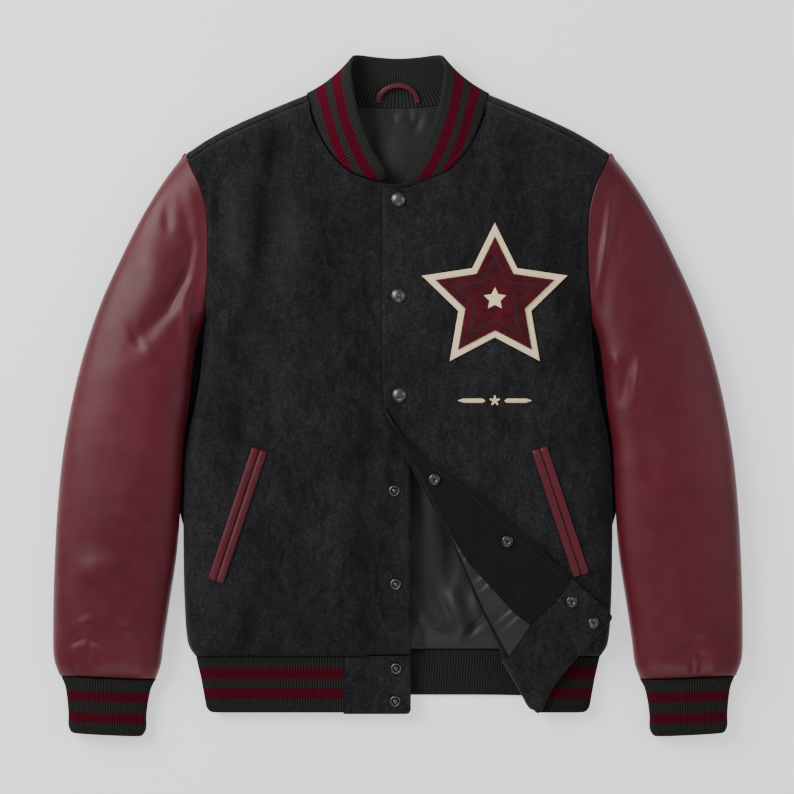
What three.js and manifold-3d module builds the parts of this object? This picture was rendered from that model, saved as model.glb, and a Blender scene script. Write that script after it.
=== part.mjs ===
// A varsity jacket laid flat with its front up: wool body, leather sleeves, ribbed collar, cuffs and hem.
// The wearer's left front is fastened by three snaps, and its lower corner is turned back over itself.
// Millimetres. +X runs to the right of the laid garment, +Y to the collar, and +Z up from the surface.
import * as THREE from 'three';
import { mergeVertices } from 'three/addons/utils/BufferGeometryUtils.js';
import Module from 'manifold-3d';

const wasm = await Module();
wasm.setup();

// Cloth thicknesses
const WOOL = 3;
const LEATHER = 1.8;
const KNIT = 4;
const LINING = 1;
const FACING = 1.6;
const SEAM_GAP = 0.3;
const LYING_GAP = 0.5;

// Heights above the surface
const SIDE_SEAM_Z = 12;
const BODY_TOP_Z = 34;
const PLACKET_DIP = 5;
const PLACKET_DIP_WIDTH = 70;
const EDGE_ROUND = 46;
const UNDER_ROUND = 22;
const HEM_TOP_Z = 18;
const HEM_FALL = 1.5;
const HEM_SIDE_Z = 11;
const BLOUSE_ROUND = 38;
const SLEEVE_RISE = 34;
const CUFF_TOP_Z = 25;
const CUFF_END_Z = 22;

// Places on the laid garment
const HEM_SEAM_Y = -286;
const HEM_EDGE_Y = -349;
const BACK_HEM_SEAM_Y = -281;
const BACK_HEM_EDGE_Y = -331;
const BACK_HEM_CORNER_DROP = 14;
const UNDERLAP_X = 14.3;
const OVERLAP_X = -17;
const UNDERLAP_DROP = 4;
const SHOULDER_TURN = 9;

// Ribs of the knit
const RIB_PITCH = 3;
const RIB_RISE = 0.35;

// Colours
const CHARCOAL = 0x2b2b2e;
const KNIT_GREY = 0x363a37;
const MAROON = 0x5e2630;
const DEEP_MAROON = 0x4d0a18;
const CREAM = 0xe6d3b0;
const SATIN = 0x303034;
const STEEL = 0x77777a;

// The right half's outlines. The left half is their mirror.
const SIDE_LINE = [
  { x: 224, y: -286 },
  { x: 230, y: -277 },
  { x: 233, y: -264 },
  { x: 235.5, y: -224 },
  { x: 236.5, y: -180 },
  { x: 236.5, y: -114 },
  { x: 234, y: -59 },
  { x: 229, y: -32 },
  { x: 220.5, y: 6.6 },
  { x: 215, y: 56 },
  { x: 213, y: 84 },
];
const ARMHOLE = [
  { x: 213, y: 84 },
  { x: 210, y: 113 },
  { x: 208.3, y: 147 },
  { x: 208, y: 180 },
  { x: 210, y: 207 },
  { x: 217, y: 232 },
  { x: 226, y: 250 },
  { x: 233.5, y: 267.5 },
];
const SHOULDER_LINE = [
  { x: 99.6, y: 333 },
  { x: 118, y: 325.6 },
  { x: 144.6, y: 314.6 },
  { x: 170, y: 303.6 },
  { x: 193, y: 292.6 },
  { x: 212, y: 281.8 },
  { x: 233.5, y: 267.5 },
];
const NECKLINE = [
  { x: 97.5, y: 322 },
  { x: 96.5, y: 311.6 },
  { x: 86.6, y: 286.3 },
  { x: 74.8, y: 266.2 },
  { x: 56.2, y: 247.6 },
  { x: 36, y: 238.4 },
];
const UNDERLAP_NECK = [
  { x: 17, y: 234 },
  { x: 0, y: 232.5 },
  { x: -UNDERLAP_X, y: 232 },
];
const OVERLAP_NECK = [
  { x: 20, y: 231 },
  { x: 5, y: 227.5 },
  { x: -9, y: 226.5 },
  { x: OVERLAP_X, y: 230 },
];
const BACK_NECK = [
  { x: 99.6, y: 333 },
  { x: 70, y: 326 },
  { x: 35, y: 320.5 },
  { x: 0, y: 319 },
];
const SLEEVE_OUTER = [
  { x: 233.5, y: 267.5 },
  { x: 249, y: 248.6 },
  { x: 264.5, y: 226.6 },
  { x: 284, y: 193.6 },
  { x: 306, y: 149.6 },
  { x: 326, y: 105.6 },
  { x: 341.6, y: 61.6 },
  { x: 353.7, y: 17.6 },
  { x: 363, y: -26.4 },
  { x: 370, y: -70.4 },
  { x: 375.5, y: -130 },
  { x: 379, y: -202.4 },
  { x: 380, y: -250 },
  { x: 379, y: -290 },
  { x: 373, y: -308 },
];
const SLEEVE_INNER = [
  { x: 213.4, y: 84 },
  { x: 221, y: 62 },
  { x: 226, y: 30 },
  { x: 230, y: -8 },
  { x: 236, y: -52 },
  { x: 239.5, y: -114 },
  { x: 243.5, y: -170 },
  { x: 251.4, y: -224.4 },
  { x: 258, y: -268.4 },
  { x: 261.5, y: -296 },
  { x: 267, y: -311.6 },
];
const CUFF_SEAM = [
  { x: 373, y: -308 },
  { x: 335, y: -308.6 },
  { x: 300, y: -310.2 },
  { x: 267, y: -311.6 },
];
const SLEEVE_HEIGHTS = [
  { along: 0, rise: 22 },
  { along: 0.25, rise: 31 },
  { along: 0.5, rise: SLEEVE_RISE },
  { along: 0.8, rise: 33 },
  { along: 0.93, rise: 29 },
  { along: 1, rise: CUFF_TOP_Z - SIDE_SEAM_Z },
];
const CUFF_SECTIONS = [
  { outerX: 371, innerX: 268, outerY: -308.5, innerY: -312.1, top: CUFF_TOP_Z },
  { outerX: 366.5, innerX: 274, outerY: -331, innerY: -335, top: 24 },
  { outerX: 362.5, innerX: 280, outerY: -368, innerY: -372, top: CUFF_END_Z },
  { outerX: 357, innerX: 286, outerY: -371.5, innerY: -376.05, top: CUFF_END_Z - 1 },
];
const HEM_SIDES = [
  { y: HEM_SEAM_Y - SEAM_GAP, halfWidth: 221.5 },
  { y: -312, halfWidth: 217 },
  { y: -343, halfWidth: 211.5 },
  { y: HEM_EDGE_Y, halfWidth: 206 },
];
const BACK_HEM_SIDES = [
  { y: BACK_HEM_SEAM_Y, halfWidth: 221.5 },
  { y: BACK_HEM_EDGE_Y, halfWidth: 208 },
];

// The largest folds, as soft troughs (depth above 0) or ridges (below 0) from one place to another
const BODY_FOLDS = [
  { x: -176, y: 232, toX: -182, toY: 120, width: 13, depth: 2.6 },
  { x: 172, y: 236, toX: 176, toY: 100, width: 14, depth: 2.8 },
  { x: -150, y: 190, toX: -146, toY: 20, width: 16, depth: -1.4 },
  { x: -196, y: 70, toX: -140, toY: 10, width: 13, depth: 2 },
  { x: 196, y: 66, toX: 150, toY: 14, width: 13, depth: 2 },
  { x: -164, y: -278, toX: -158, toY: -232, width: 9, depth: 3 },
  { x: -102, y: -280, toX: -98, toY: -244, width: 8, depth: 2.4 },
  { x: -38, y: -282, toX: -40, toY: -214, width: 10, depth: 2.2 },
  { x: 190, y: -276, toX: 186, toY: -240, width: 9, depth: 2 },
  { x: -60, y: 200, toX: -66, toY: 60, width: 18, depth: 1.4 },
];
const LEFT_SLEEVE_FOLDS = [
  { x: -240, y: 238, toX: -226, toY: 120, width: 8, depth: -4 },
  { x: -252, y: 214, toX: -244, toY: 140, width: 8, depth: 4 },
  { x: -220, y: 100, toX: -264, toY: 56, width: 8, depth: 6 },
  { x: -264, y: 56, toX: -292, toY: 30, width: 10, depth: 4 },
  { x: -222, y: 66, toX: -252, toY: 12, width: 10, depth: -3 },
  { x: -332, y: -286, toX: -330, toY: -258, width: 8, depth: 6 },
  { x: -296, y: -300, toX: -292, toY: -262, width: 9, depth: 3 },
  { x: -352, y: -150, toX: -300, toY: -178, width: 14, depth: 2 },
];
const RIGHT_SLEEVE_FOLDS = [
  { x: 232, y: 238, toX: 226, toY: 130, width: 8, depth: 5 },
  { x: 246, y: 224, toX: 230, toY: 108, width: 8, depth: -5 },
  { x: 256, y: 206, toX: 250, toY: 120, width: 11, depth: 3 },
  { x: 246, y: 4, toX: 262, toY: -56, width: 11, depth: 3.5 },
  { x: 262, y: -20, toX: 282, toY: -110, width: 12, depth: 2.5 },
  { x: 330, y: -288, toX: 334, toY: -256, width: 8, depth: 5 },
  { x: 296, y: -300, toX: 300, toY: -264, width: 9, depth: 3.5 },
  { x: 360, y: -140, toX: 306, toY: -170, width: 14, depth: 2 },
];
const LINING_FOLDS = [
  { x: 30, y: -248, toX: 62, toY: -196, width: 8, depth: -2.6 },
  { x: 66, y: -262, toX: 84, toY: -206, width: 8, depth: -2.6 },
  { x: 24, y: -206, toX: 34, toY: -120, width: 9, depth: -2 },
  { x: -14, y: 300, toX: -24, toY: 250, width: 6, depth: -1.6 },
  { x: 24, y: 306, toX: 8, toY: 256, width: 6, depth: -1.6 },
];

// The turned-back corner: the line that it folds on, its free front edge, and the seams on it
const FOLD_LINE = [
  { x: -14.9, y: -11 },
  { x: 2.8, y: -48.4 },
  { x: 17.6, y: -75.9 },
  { x: 33.6, y: -106.7 },
  { x: 55.6, y: -147.4 },
  { x: 75.4, y: -192 },
  { x: 94, y: -233 },
  { x: 122, y: -286 },
  { x: 137.4, y: -320 },
  { x: 149.7, y: -345.5 },
];
const FREE_EDGE = [
  { x: -14.5, y: -11 },
  { x: -5.5, y: -27 },
  { x: 11.6, y: -50.6 },
  { x: 33.6, y: -67 },
  { x: 66.6, y: -88 },
  { x: 88.6, y: -106.7 },
  { x: 133.7, y: -147.4 },
  { x: 166.7, y: -177 },
  { x: 190, y: -199 },
];
const BLOCK_EDGE = [
  { x: 190, y: -199 },
  { x: 201, y: -209 },
  { x: 221.7, y: -227.7 },
  { x: 234, y: -240.5 },
  { x: 234.5, y: -245 },
  { x: 224, y: -255.2 },
  { x: 194.2, y: -287.7 },
  { x: 171, y: -320 },
  { x: 162, y: -341 },
  { x: 157, y: -346.5 },
  { x: 149.7, y: -345.5 },
];
const FACING_SEAM = [
  { x: 55.6, y: -147.4 },
  { x: 76, y: -184 },
  { x: 97.4, y: -201.3 },
  { x: 118.9, y: -217.8 },
  { x: 134.3, y: -235.4 },
  { x: 146.6, y: -249.5 },
];
const FOLD_START_ROW = 1;
const FOLD_FACING_ROW = 4;
const FOLD_HEM_ROW = 7;

// Hard pieces and trims
const SNAP_CAPS = [
  { x: 0.5, y: 215.5 },
  { x: 0.5, y: 110 },
  { x: 1.5, y: 1 },
];
const SNAP_STUDS = [
  { x: -4, y: -104 },
  { x: -2.5, y: -206.5 },
  { x: -2, y: -300 },
  { x: -3, y: -336 },
];
const SNAP_SOCKETS = [
  { x: 40, y: -91 },
  { x: 119.4, y: -158.4 },
  { x: 189.8, y: -224.4 },
  { x: 213.5, y: -247.5 },
];
const CAP_PROFILE = [
  { r: 0, z: 0 },
  { r: 7.4, z: 0 },
  { r: 7.7, z: 1 },
  { r: 6.2, z: 2.3 },
  { r: 0, z: 2.9 },
];
const STUD_PROFILE = [
  { r: 0, z: 0 },
  { r: 6, z: 0 },
  { r: 5.8, z: 1.2 },
  { r: 4.2, z: 1.5 },
  { r: 3.4, z: 0.9 },
  { r: 2, z: 1 },
  { r: 1.9, z: 3 },
  { r: 0, z: 3.3 },
];
const SOCKET_PROFILE = [
  { r: 0, z: 0 },
  { r: 6.2, z: 0 },
  { r: 6, z: 1.6 },
  { r: 4.8, z: 2.2 },
  { r: 2.6, z: 1.9 },
  { r: 2.3, z: 0.7 },
  { r: 0, z: 0.7 },
];
const SNAP_SEGMENTS = 12;
const POCKET_LEFT = { side: -1, topX: 151, topY: -58, lowX: 199.6, lowY: -203 };
const POCKET_RIGHT = { side: 1, topX: 154.6, topY: -57, lowX: 200.8, lowY: -196.5 };
const WELT_WIDTH = 8.4;
const WELT_SLIT = 1;
const WELT_THICK = 2.2;
const WELT_STEPS = 8;
const STAR = { x: 106, y: 106, radius: 84, feltThick: 1.6, pileThick: 2.6, border: 9 };
const LOOP = { halfSpan: 22, baseY: 324, apexY: 343, halfWidth: 2.6, halfThick: 1.1 };

// Helpers
const clamp = (value, low, high) => Math.min(high, Math.max(low, value));
const lerp = (a, b, share) => a + (b - a) * share;
const dome = (distance, radius) => Math.sqrt(1 - (1 - clamp(distance / radius, 0, 1)) ** 2);
const smooth = (low, high, value) => {
  const share = clamp((value - low) / (high - low), 0, 1);
  return share * share * (3 - 2 * share);
};
const mirrored = (rows, side) => rows.map((row) => ({ ...row, x: row.x * side }));
const toPoints = (rows) => rows.map((row) => new THREE.Vector2(row.x, row.y));

function splineThrough(rows) {
  const points = rows.map((row) => new THREE.Vector3(row.x, row.y, 0));
  const curve = new THREE.CatmullRomCurve3(points, false, 'centripetal');
  return (share) => curve.getPointAt(clamp(share, 0, 1));
}

function distanceToSegment(x, y, a, b) {
  const dx = b.x - a.x;
  const dy = b.y - a.y;
  const along = clamp(((x - a.x) * dx + (y - a.y) * dy) / (dx * dx + dy * dy), 0, 1);
  return { away: Math.hypot(x - a.x - dx * along, y - a.y - dy * along), along };
}

// How far a place is from a line's left side or its ends, and 0 on its right side
function distanceInside(rows, x, y) {
  let nearest = Infinity;
  let inside = 0;
  for (let i = 1; i < rows.length; i += 1) {
    const [a, b] = [rows[i - 1], rows[i]];
    const { away, along } = distanceToSegment(x, y, a, b);
    if (away >= nearest) continue;
    nearest = away;
    const isPastEnd = (i === 1 && along === 0) || (i === rows.length - 1 && along === 1);
    const isLeft = (b.x - a.x) * (y - a.y) - (b.y - a.y) * (x - a.x) > 0;
    inside = isLeft || isPastEnd ? away : 0;
  }
  return inside;
}

function denseLine(rows, count = 36) {
  const spline = splineThrough(rows);
  return Array.from({ length: count + 1 }, (_, i) => spline(i / count));
}

function foldDepth(folds, x, y) {
  let depth = 0;
  for (const fold of folds) {
    const near = distanceToSegment(x, y, fold, { x: fold.toX, y: fold.toY });
    const fade = Math.sin(Math.PI * (0.15 + 0.7 * near.along));
    depth += fold.depth * fade * Math.exp(-((near.away / fold.width) ** 2));
  }
  return depth;
}

function valueAt(rows, key, value, at) {
  const sorted = [...rows].sort((a, b) => a[key] - b[key]);
  const next = sorted.findIndex((row) => row[key] >= at);
  if (next <= 0) return sorted[next === 0 ? 0 : sorted.length - 1][value];
  const from = sorted[next - 1];
  const to = sorted[next];
  return lerp(from[value], to[value], (at - from[key]) / (to[key] - from[key]));
}

// The body's upper and lower surfaces, by distance from its side and shoulder edges
const SIDE_EDGE = denseLine(SIDE_LINE);
const SHOULDER_EDGE = denseLine([...SHOULDER_LINE].reverse());
const OUTER_EDGE = denseLine([...SLEEVE_OUTER].reverse());
const INNER_EDGE = denseLine(SLEEVE_INNER);
const edgeDistance = (x, y) =>
  Math.min(distanceInside(SIDE_EDGE, Math.abs(x), y), distanceInside(SHOULDER_EDGE, Math.abs(x), y));
const crownZ = (x) => BODY_TOP_Z - PLACKET_DIP * Math.exp(-((x / PLACKET_DIP_WIDTH) ** 2));

function bodyTop(x, y) {
  const sides = SIDE_SEAM_Z + (crownZ(x) - SIDE_SEAM_Z) * dome(edgeDistance(x, y), EDGE_ROUND);
  const blouse = HEM_TOP_Z + (crownZ(x) - HEM_TOP_Z) * dome(y - HEM_SEAM_Y, BLOUSE_ROUND);
  const height = Math.min(sides, blouse);
  const hold = dome(edgeDistance(x, y), EDGE_ROUND) * dome(y - HEM_SEAM_Y + 4, BLOUSE_ROUND);
  return height - foldDepth(BODY_FOLDS, x, y) * hold;
}

const bodyUnder = (x, y) => SIDE_SEAM_Z * (1 - dome(edgeDistance(x, y), UNDER_ROUND));
const hemTop = (y) => HEM_TOP_Z - HEM_FALL * clamp((HEM_SEAM_Y - y) / (HEM_SEAM_Y - HEM_EDGE_Y), 0, 1);

// The surface that the turned-back corner lies on, without the body's sharp falls
const FLAP_OVERHANG = 12;
const FLAP_GAP = 0.8;
function flapUnder(x, y) {
  const sides =
    SIDE_SEAM_Z + (crownZ(x) - SIDE_SEAM_Z) * dome(edgeDistance(x, y) + FLAP_OVERHANG, EDGE_ROUND);
  const ease = HEM_TOP_Z + (crownZ(x) - HEM_TOP_Z) * smooth(-338, -255, y);
  return Math.min(sides, ease) + FLAP_GAP;
}

// Closed solids
function solidOf(vertices, triangles) {
  const make = (faces) =>
    new wasm.Manifold(
      new wasm.Mesh({
        numProp: 3,
        vertProperties: new Float32Array(vertices.flatMap((v) => [v.x, v.y, v.z])),
        triVerts: new Uint32Array(faces.flat()),
      }),
    );
  const made = make(triangles);
  return made.volume() < 0 ? make(triangles.map(([a, b, c]) => [a, c, b])) : made;
}

function solidFromGeometry(geometry) {
  const bare = geometry.index ? geometry.toNonIndexed() : geometry;
  const onlyPlaces = new THREE.BufferGeometry().setAttribute('position', bare.getAttribute('position'));
  const merged = mergeVertices(onlyPlaces, 1e-3);
  const places = merged.attributes.position;
  const vertices = Array.from({ length: places.count }, (_, i) =>
    new THREE.Vector3().fromBufferAttribute(places, i),
  );
  const corners = Array.from(merged.index.array);
  const faces = Array.from({ length: corners.length / 3 }, (_, i) => corners.slice(3 * i, 3 * i + 3));
  return solidOf(vertices, faces.filter(([a, b, c]) => a !== b && b !== c && c !== a));
}

function geometryOf(solid) {
  const mesh = solid.getMesh();
  const places = [];
  for (let i = 0; i < mesh.vertProperties.length; i += mesh.numProp) {
    places.push(mesh.vertProperties[i], mesh.vertProperties[i + 1], mesh.vertProperties[i + 2]);
  }
  const geometry = new THREE.BufferGeometry();
  geometry.setAttribute('position', new THREE.Float32BufferAttribute(places, 3));
  geometry.setIndex(Array.from(mesh.triVerts));
  geometry.computeVertexNormals();
  return geometry;
}

// A wall of cloth: a grid of outer points, and the same grid moved inwards by the thickness
function wall({ columns, rows, outer, inward, thickness, limit = (z) => z }) {
  const vertices = [];
  const triangles = [];
  const across = rows.length;
  const layer = columns.length * across;
  const at = (i, j) => i * across + (j % across);
  for (const u of columns) for (const v of rows) vertices.push(outer(u, v));
  const [step, inset] = [1e-3, 5e-3];
  for (const u of columns) {
    for (const v of rows) {
      const [s, t] = [clamp(u, inset, 1 - inset), clamp(v, inset, 1 - inset)];
      const du = outer(s + step, t).sub(outer(s - step, t));
      const dv = outer(s, t + step).sub(outer(s, t - step));
      const normal = du.cross(dv).normalize();
      if (normal.dot(inward) < 0) normal.negate();
      const place = outer(u, v).addScaledVector(normal, thickness);
      vertices.push(place.setZ(limit(place.z)));
    }
  }
  const quad = (a, b, c, d) => triangles.push([a, b, c], [a, c, d]);
  for (let i = 0; i + 1 < columns.length; i += 1) {
    for (let j = 0; j + 1 < across; j += 1) {
      quad(at(i, j), at(i + 1, j), at(i + 1, j + 1), at(i, j + 1));
      quad(layer + at(i, j), layer + at(i, j + 1), layer + at(i + 1, j + 1), layer + at(i + 1, j));
    }
  }
  const last = columns.length - 1;
  for (let i = 0; i < last; i += 1) {
    quad(at(i, 0), layer + at(i, 0), layer + at(i + 1, 0), at(i + 1, 0));
    quad(at(i, across - 1), at(i + 1, across - 1), layer + at(i + 1, across - 1), layer + at(i, across - 1));
  }
  for (let j = 0; j + 1 < across; j += 1) {
    quad(at(0, j), at(0, j + 1), layer + at(0, j + 1), layer + at(0, j));
    quad(at(last, j), layer + at(last, j), layer + at(last, j + 1), at(last, j + 1));
  }
  return solidOf(vertices, triangles);
}

// Rings of points, joined one to the next and closed at both ends
function loft(rings, flatten = (p) => new THREE.Vector2(p.x, p.z)) {
  const vertices = rings.flat();
  const count = rings[0].length;
  const triangles = [];
  for (let i = 0; i + 1 < rings.length; i += 1) {
    for (let j = 0; j < count; j += 1) {
      const next = (j + 1) % count;
      const [a, b] = [i * count + j, i * count + next];
      triangles.push([a, b, b + count], [a, b + count, a + count]);
    }
  }
  const cap = (ring, base, forward) => {
    const outline = ring.map(flatten);
    const along = Math.sign(THREE.ShapeUtils.area(outline));
    for (const [a, b, c] of THREE.ShapeUtils.triangulateShape(outline, [])) {
      const turn = Math.sign(THREE.ShapeUtils.area([outline[a], outline[b], outline[c]]));
      const keep = (turn === along) === forward;
      triangles.push(keep ? [base + a, base + b, base + c] : [base + a, base + c, base + b]);
    }
  };
  cap(rings[0], 0, false);
  cap(rings[rings.length - 1], (rings.length - 1) * count, true);
  return solidOf(vertices, triangles);
}

// A piece of cloth that lies on something: a slab over a height function, cut to an outline
const CELL = 21;
function layer(outline, under, thickness, cell = CELL) {
  const xs = outline.map((row) => row.x);
  const ys = outline.map((row) => row.y);
  const [lowX, lowY] = [Math.min(...xs) - 1, Math.min(...ys) - 1];
  const [spanX, spanY] = [Math.max(...xs) + 1 - lowX, Math.max(...ys) + 1 - lowY];
  const shares = (span) => {
    const count = Math.max(1, Math.round(span / cell));
    return Array.from({ length: count + 1 }, (_, i) => i / count);
  };
  const vertices = [];
  const triangles = [];
  const [columns, rows] = [shares(spanX), shares(spanY)];
  const place = (u, v, lift) => {
    const [x, y] = [lowX + u * spanX, lowY + v * spanY];
    return new THREE.Vector3(x, y, under(x, y) + lift);
  };
  for (const lift of [0, thickness]) {
    for (const u of columns) for (const v of rows) vertices.push(place(u, v, lift));
  }
  const at = (i, j) => i * rows.length + j;
  const top = columns.length * rows.length;
  const quad = (a, b, c, d) => triangles.push([a, b, c], [a, c, d]);
  const [lastI, lastJ] = [columns.length - 1, rows.length - 1];
  for (let i = 0; i < lastI; i += 1) {
    for (let j = 0; j < lastJ; j += 1) {
      quad(top + at(i, j), top + at(i + 1, j), top + at(i + 1, j + 1), top + at(i, j + 1));
      quad(at(i, j), at(i, j + 1), at(i + 1, j + 1), at(i + 1, j));
    }
    quad(at(i, 0), at(i + 1, 0), top + at(i + 1, 0), top + at(i, 0));
    quad(at(i, lastJ), top + at(i, lastJ), top + at(i + 1, lastJ), at(i + 1, lastJ));
  }
  for (let j = 0; j < lastJ; j += 1) {
    quad(at(0, j), top + at(0, j), top + at(0, j + 1), at(0, j + 1));
    quad(at(lastI, j), at(lastI, j + 1), top + at(lastI, j + 1), top + at(lastI, j));
  }
  return solidOf(vertices, triangles).intersect(prism(outline));
}

function prism(outline, low = -20, high = 120) {
  const shape = new THREE.Shape(toPoints(outline));
  const geometry = new THREE.ExtrudeGeometry(shape, { depth: high - low, bevelEnabled: false });
  return solidFromGeometry(geometry.translate(0, 0, low));
}

// The height of a solid's top over a place, from its own faces
function topOf(solid) {
  const mesh = solid.getMesh();
  const at = (i) => mesh.vertProperties.subarray(i * mesh.numProp, i * mesh.numProp + 3);
  const faces = [];
  for (let i = 0; i < mesh.triVerts.length; i += 3) {
    faces.push([at(mesh.triVerts[i]), at(mesh.triVerts[i + 1]), at(mesh.triVerts[i + 2])]);
  }
  return (x, y, fallback) => {
    let best = -Infinity;
    for (const [a, b, c] of faces) {
      const area = (b[0] - a[0]) * (c[1] - a[1]) - (c[0] - a[0]) * (b[1] - a[1]);
      if (Math.abs(area) < 1e-6) continue;
      const s = ((x - a[0]) * (c[1] - a[1]) - (c[0] - a[0]) * (y - a[1])) / area;
      const t = ((b[0] - a[0]) * (y - a[1]) - (x - a[0]) * (b[1] - a[1])) / area;
      if (s < -1e-6 || t < -1e-6 || s + t > 1 + 1e-6) continue;
      best = Math.max(best, a[2] + s * (b[2] - a[2]) + t * (c[2] - a[2]));
    }
    return best > -Infinity ? best : fallback(x, y);
  };
}

// Body panels, as a patch between four edges
const FRONT_COLUMNS = [0, 0.012, 0.05, 0.11, 0.22, 0.345, 0.475, 0.61, 0.7, 0.79, 0.87, 0.94, 1];
const NECK_COLUMN = 0.61;
const SIDE_ROWS = [0, 0.015, 0.05, 0.12, 0.24, 0.38, 0.54, 0.7, 0.85, 1];
const ARMHOLE_ROWS = [0.2, 0.4, 0.6, 0.78, 0.9, 1];
const UNDERARM_ROW = 0.66;
const FRONT_ROWS = [
  ...SIDE_ROWS.map((share) => share * UNDERARM_ROW),
  ...ARMHOLE_ROWS.map((share) => lerp(UNDERARM_ROW, 1, share)),
];

function patch({ low, high, first, last }) {
  return (u, v) => {
    const place = low(u).multiplyScalar(1 - v);
    place.addScaledVector(high(u), v).addScaledVector(first(v), 1 - u).addScaledVector(last(v), u);
    place.addScaledVector(low(0), -(1 - u) * (1 - v)).addScaledVector(low(1), -u * (1 - v));
    return place.addScaledVector(high(0), -(1 - u) * v).addScaledVector(high(1), -u * v);
  };
}

function shoulderSeamY(x) {
  const slope = (valueAt(SHOULDER_LINE, 'x', 'y', x + 4) - valueAt(SHOULDER_LINE, 'x', 'y', x - 4)) / 8;
  return valueAt(SHOULDER_LINE, 'x', 'y', x) - SHOULDER_TURN * Math.hypot(1, slope) - 0.6;
}
const ARMHOLE_TOP_X = 229;
function sideEdge(side) {
  const below = splineThrough(mirrored(SIDE_LINE, side));
  const rows = ARMHOLE.slice(0, -1).concat({ x: ARMHOLE_TOP_X, y: shoulderSeamY(ARMHOLE_TOP_X) });
  const above = splineThrough(mirrored(rows, side));
  return (v) =>
    v <= UNDERARM_ROW ? below(v / UNDERARM_ROW) : above((v - UNDERARM_ROW) / (1 - UNDERARM_ROW));
}

function frontTopEdge(side, neckRows) {
  const neck = splineThrough(mirrored([...NECKLINE, ...neckRows], side));
  return (u) => {
    if (u > NECK_COLUMN) return neck((u - NECK_COLUMN) / (1 - NECK_COLUMN));
    const x = lerp(ARMHOLE_TOP_X, NECKLINE[0].x, u / NECK_COLUMN);
    return new THREE.Vector3(side * x, shoulderSeamY(x), 0);
  };
}

const DOWN = new THREE.Vector3(0, 0, -1);
const UP = new THREE.Vector3(0, 0, 1);

function frontWall(side, neckRows, hemEnd, placket, drop) {
  const high = frontTopEdge(side, neckRows);
  const first = sideEdge(side);
  const hemStart = first(0);
  const low = (u) => new THREE.Vector3(lerp(hemStart.x, hemEnd, u), HEM_SEAM_Y, 0);
  const plan = patch({ low, high, first, last: placket });
  const outer = (u, v) => {
    const place = plan(u, v);
    place.z = Math.max(bodyTop(place.x, place.y) - drop(place.x), SIDE_SEAM_Z + SEAM_GAP / 2);
    return place;
  };
  const limit = (z) => Math.max(z, SIDE_SEAM_Z + SEAM_GAP / 2);
  return wall({ columns: FRONT_COLUMNS, rows: FRONT_ROWS, outer, inward: DOWN, thickness: WOOL, limit });
}

function leftFront() {
  const top = UNDERLAP_NECK[UNDERLAP_NECK.length - 1].y;
  const placket = (v) => new THREE.Vector3(UNDERLAP_X, lerp(HEM_SEAM_Y, top, v), 0);
  const drop = (x) => UNDERLAP_DROP * smooth(OVERLAP_X - 27, OVERLAP_X - 7, x);
  return frontWall(-1, UNDERLAP_NECK, UNDERLAP_X, placket, drop);
}

// The fold of the turned-back corner: a strip bent round from the layer below to the layer above
const FOLD_WALL = 2.6;
const FOLD_REACH = 4;
function foldStrip(fromRow, toRow, under, layerAbove, shift, endInset = 0) {
  const line = splineThrough(FOLD_LINE.slice(fromRow, toRow + 1));
  const steps = 2 * (toRow - fromRow);
  const rings = [];
  for (let k = 0; k <= steps; k += 1) {
    const share = lerp(endInset, 1 - endInset, k / steps);
    const here = line(share);
    const ahead = line(share + 0.01).sub(line(share - 0.01)).normalize();
    const across = new THREE.Vector3(-ahead.y, ahead.x, 0);
    const lowZ = under(here.x, here.y) - WOOL / 2;
    const highZ = flapUnder(here.x, here.y) + layerAbove / 2;
    const middle = (lowZ + highZ) / 2;
    const radius = (highZ - lowZ) / 2;
    const spine = [{ out: -FOLD_REACH, z: lowZ }, { out: 0, z: lowZ }];
    for (const turn of [45, 90, 135]) {
      const angle = THREE.MathUtils.degToRad(turn);
      spine.push({ out: radius * Math.sin(angle), z: middle - radius * Math.cos(angle) });
    }
    spine.push({ out: 0, z: highZ }, { out: -FOLD_REACH, z: highZ });
    const sideOf = (sign) =>
      spine.map((p, i) => {
        const [a, b] = [spine[Math.max(0, i - 1)], spine[Math.min(spine.length - 1, i + 1)]];
        const length = Math.hypot(b.out - a.out, b.z - a.z);
        const nudge = (sign * FOLD_WALL) / 2 / length;
        const out = p.out + (b.z - a.z) * nudge + shift;
        return new THREE.Vector3(here.x - across.x * out, here.y - across.y * out, p.z - (b.out - a.out) * nudge);
      });
    rings.push([...sideOf(1), ...sideOf(-1).reverse()]);
  }
  const flat = (p) => new THREE.Vector2(p.x * 0.9 + p.y * 0.4, p.z);
  return loft(rings, flat);
}

function rightFront() {
  const neckTop = OVERLAP_NECK[OVERLAP_NECK.length - 1];
  const foldTop = FOLD_LINE[0];
  const foldShare = (foldTop.y - HEM_SEAM_Y) / (neckTop.y - HEM_SEAM_Y);
  const foldRows = FOLD_LINE.slice(0, FOLD_HEM_ROW + 1).reverse();
  const foldEnd = { x: 122, y: HEM_SEAM_Y };
  const below = splineThrough([foldEnd, ...foldRows]);
  const placket = (v) => {
    if (v <= foldShare) return below(v / foldShare);
    const share = (v - foldShare) / (1 - foldShare);
    return new THREE.Vector3(lerp(foldTop.x, neckTop.x, Math.min(1, share * 8)), lerp(foldTop.y, neckTop.y, share), 0);
  };
  const main = frontWall(1, OVERLAP_NECK, foldEnd.x, placket, () => 0);
  const corner = layer(turnedOutline(0), flapUnder, WOOL);
  const fold = foldStrip(FOLD_START_ROW, FOLD_HEM_ROW, bodyTop, WOOL, 0, 0.015);
  return main.add(fold).add(corner);
}

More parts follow.
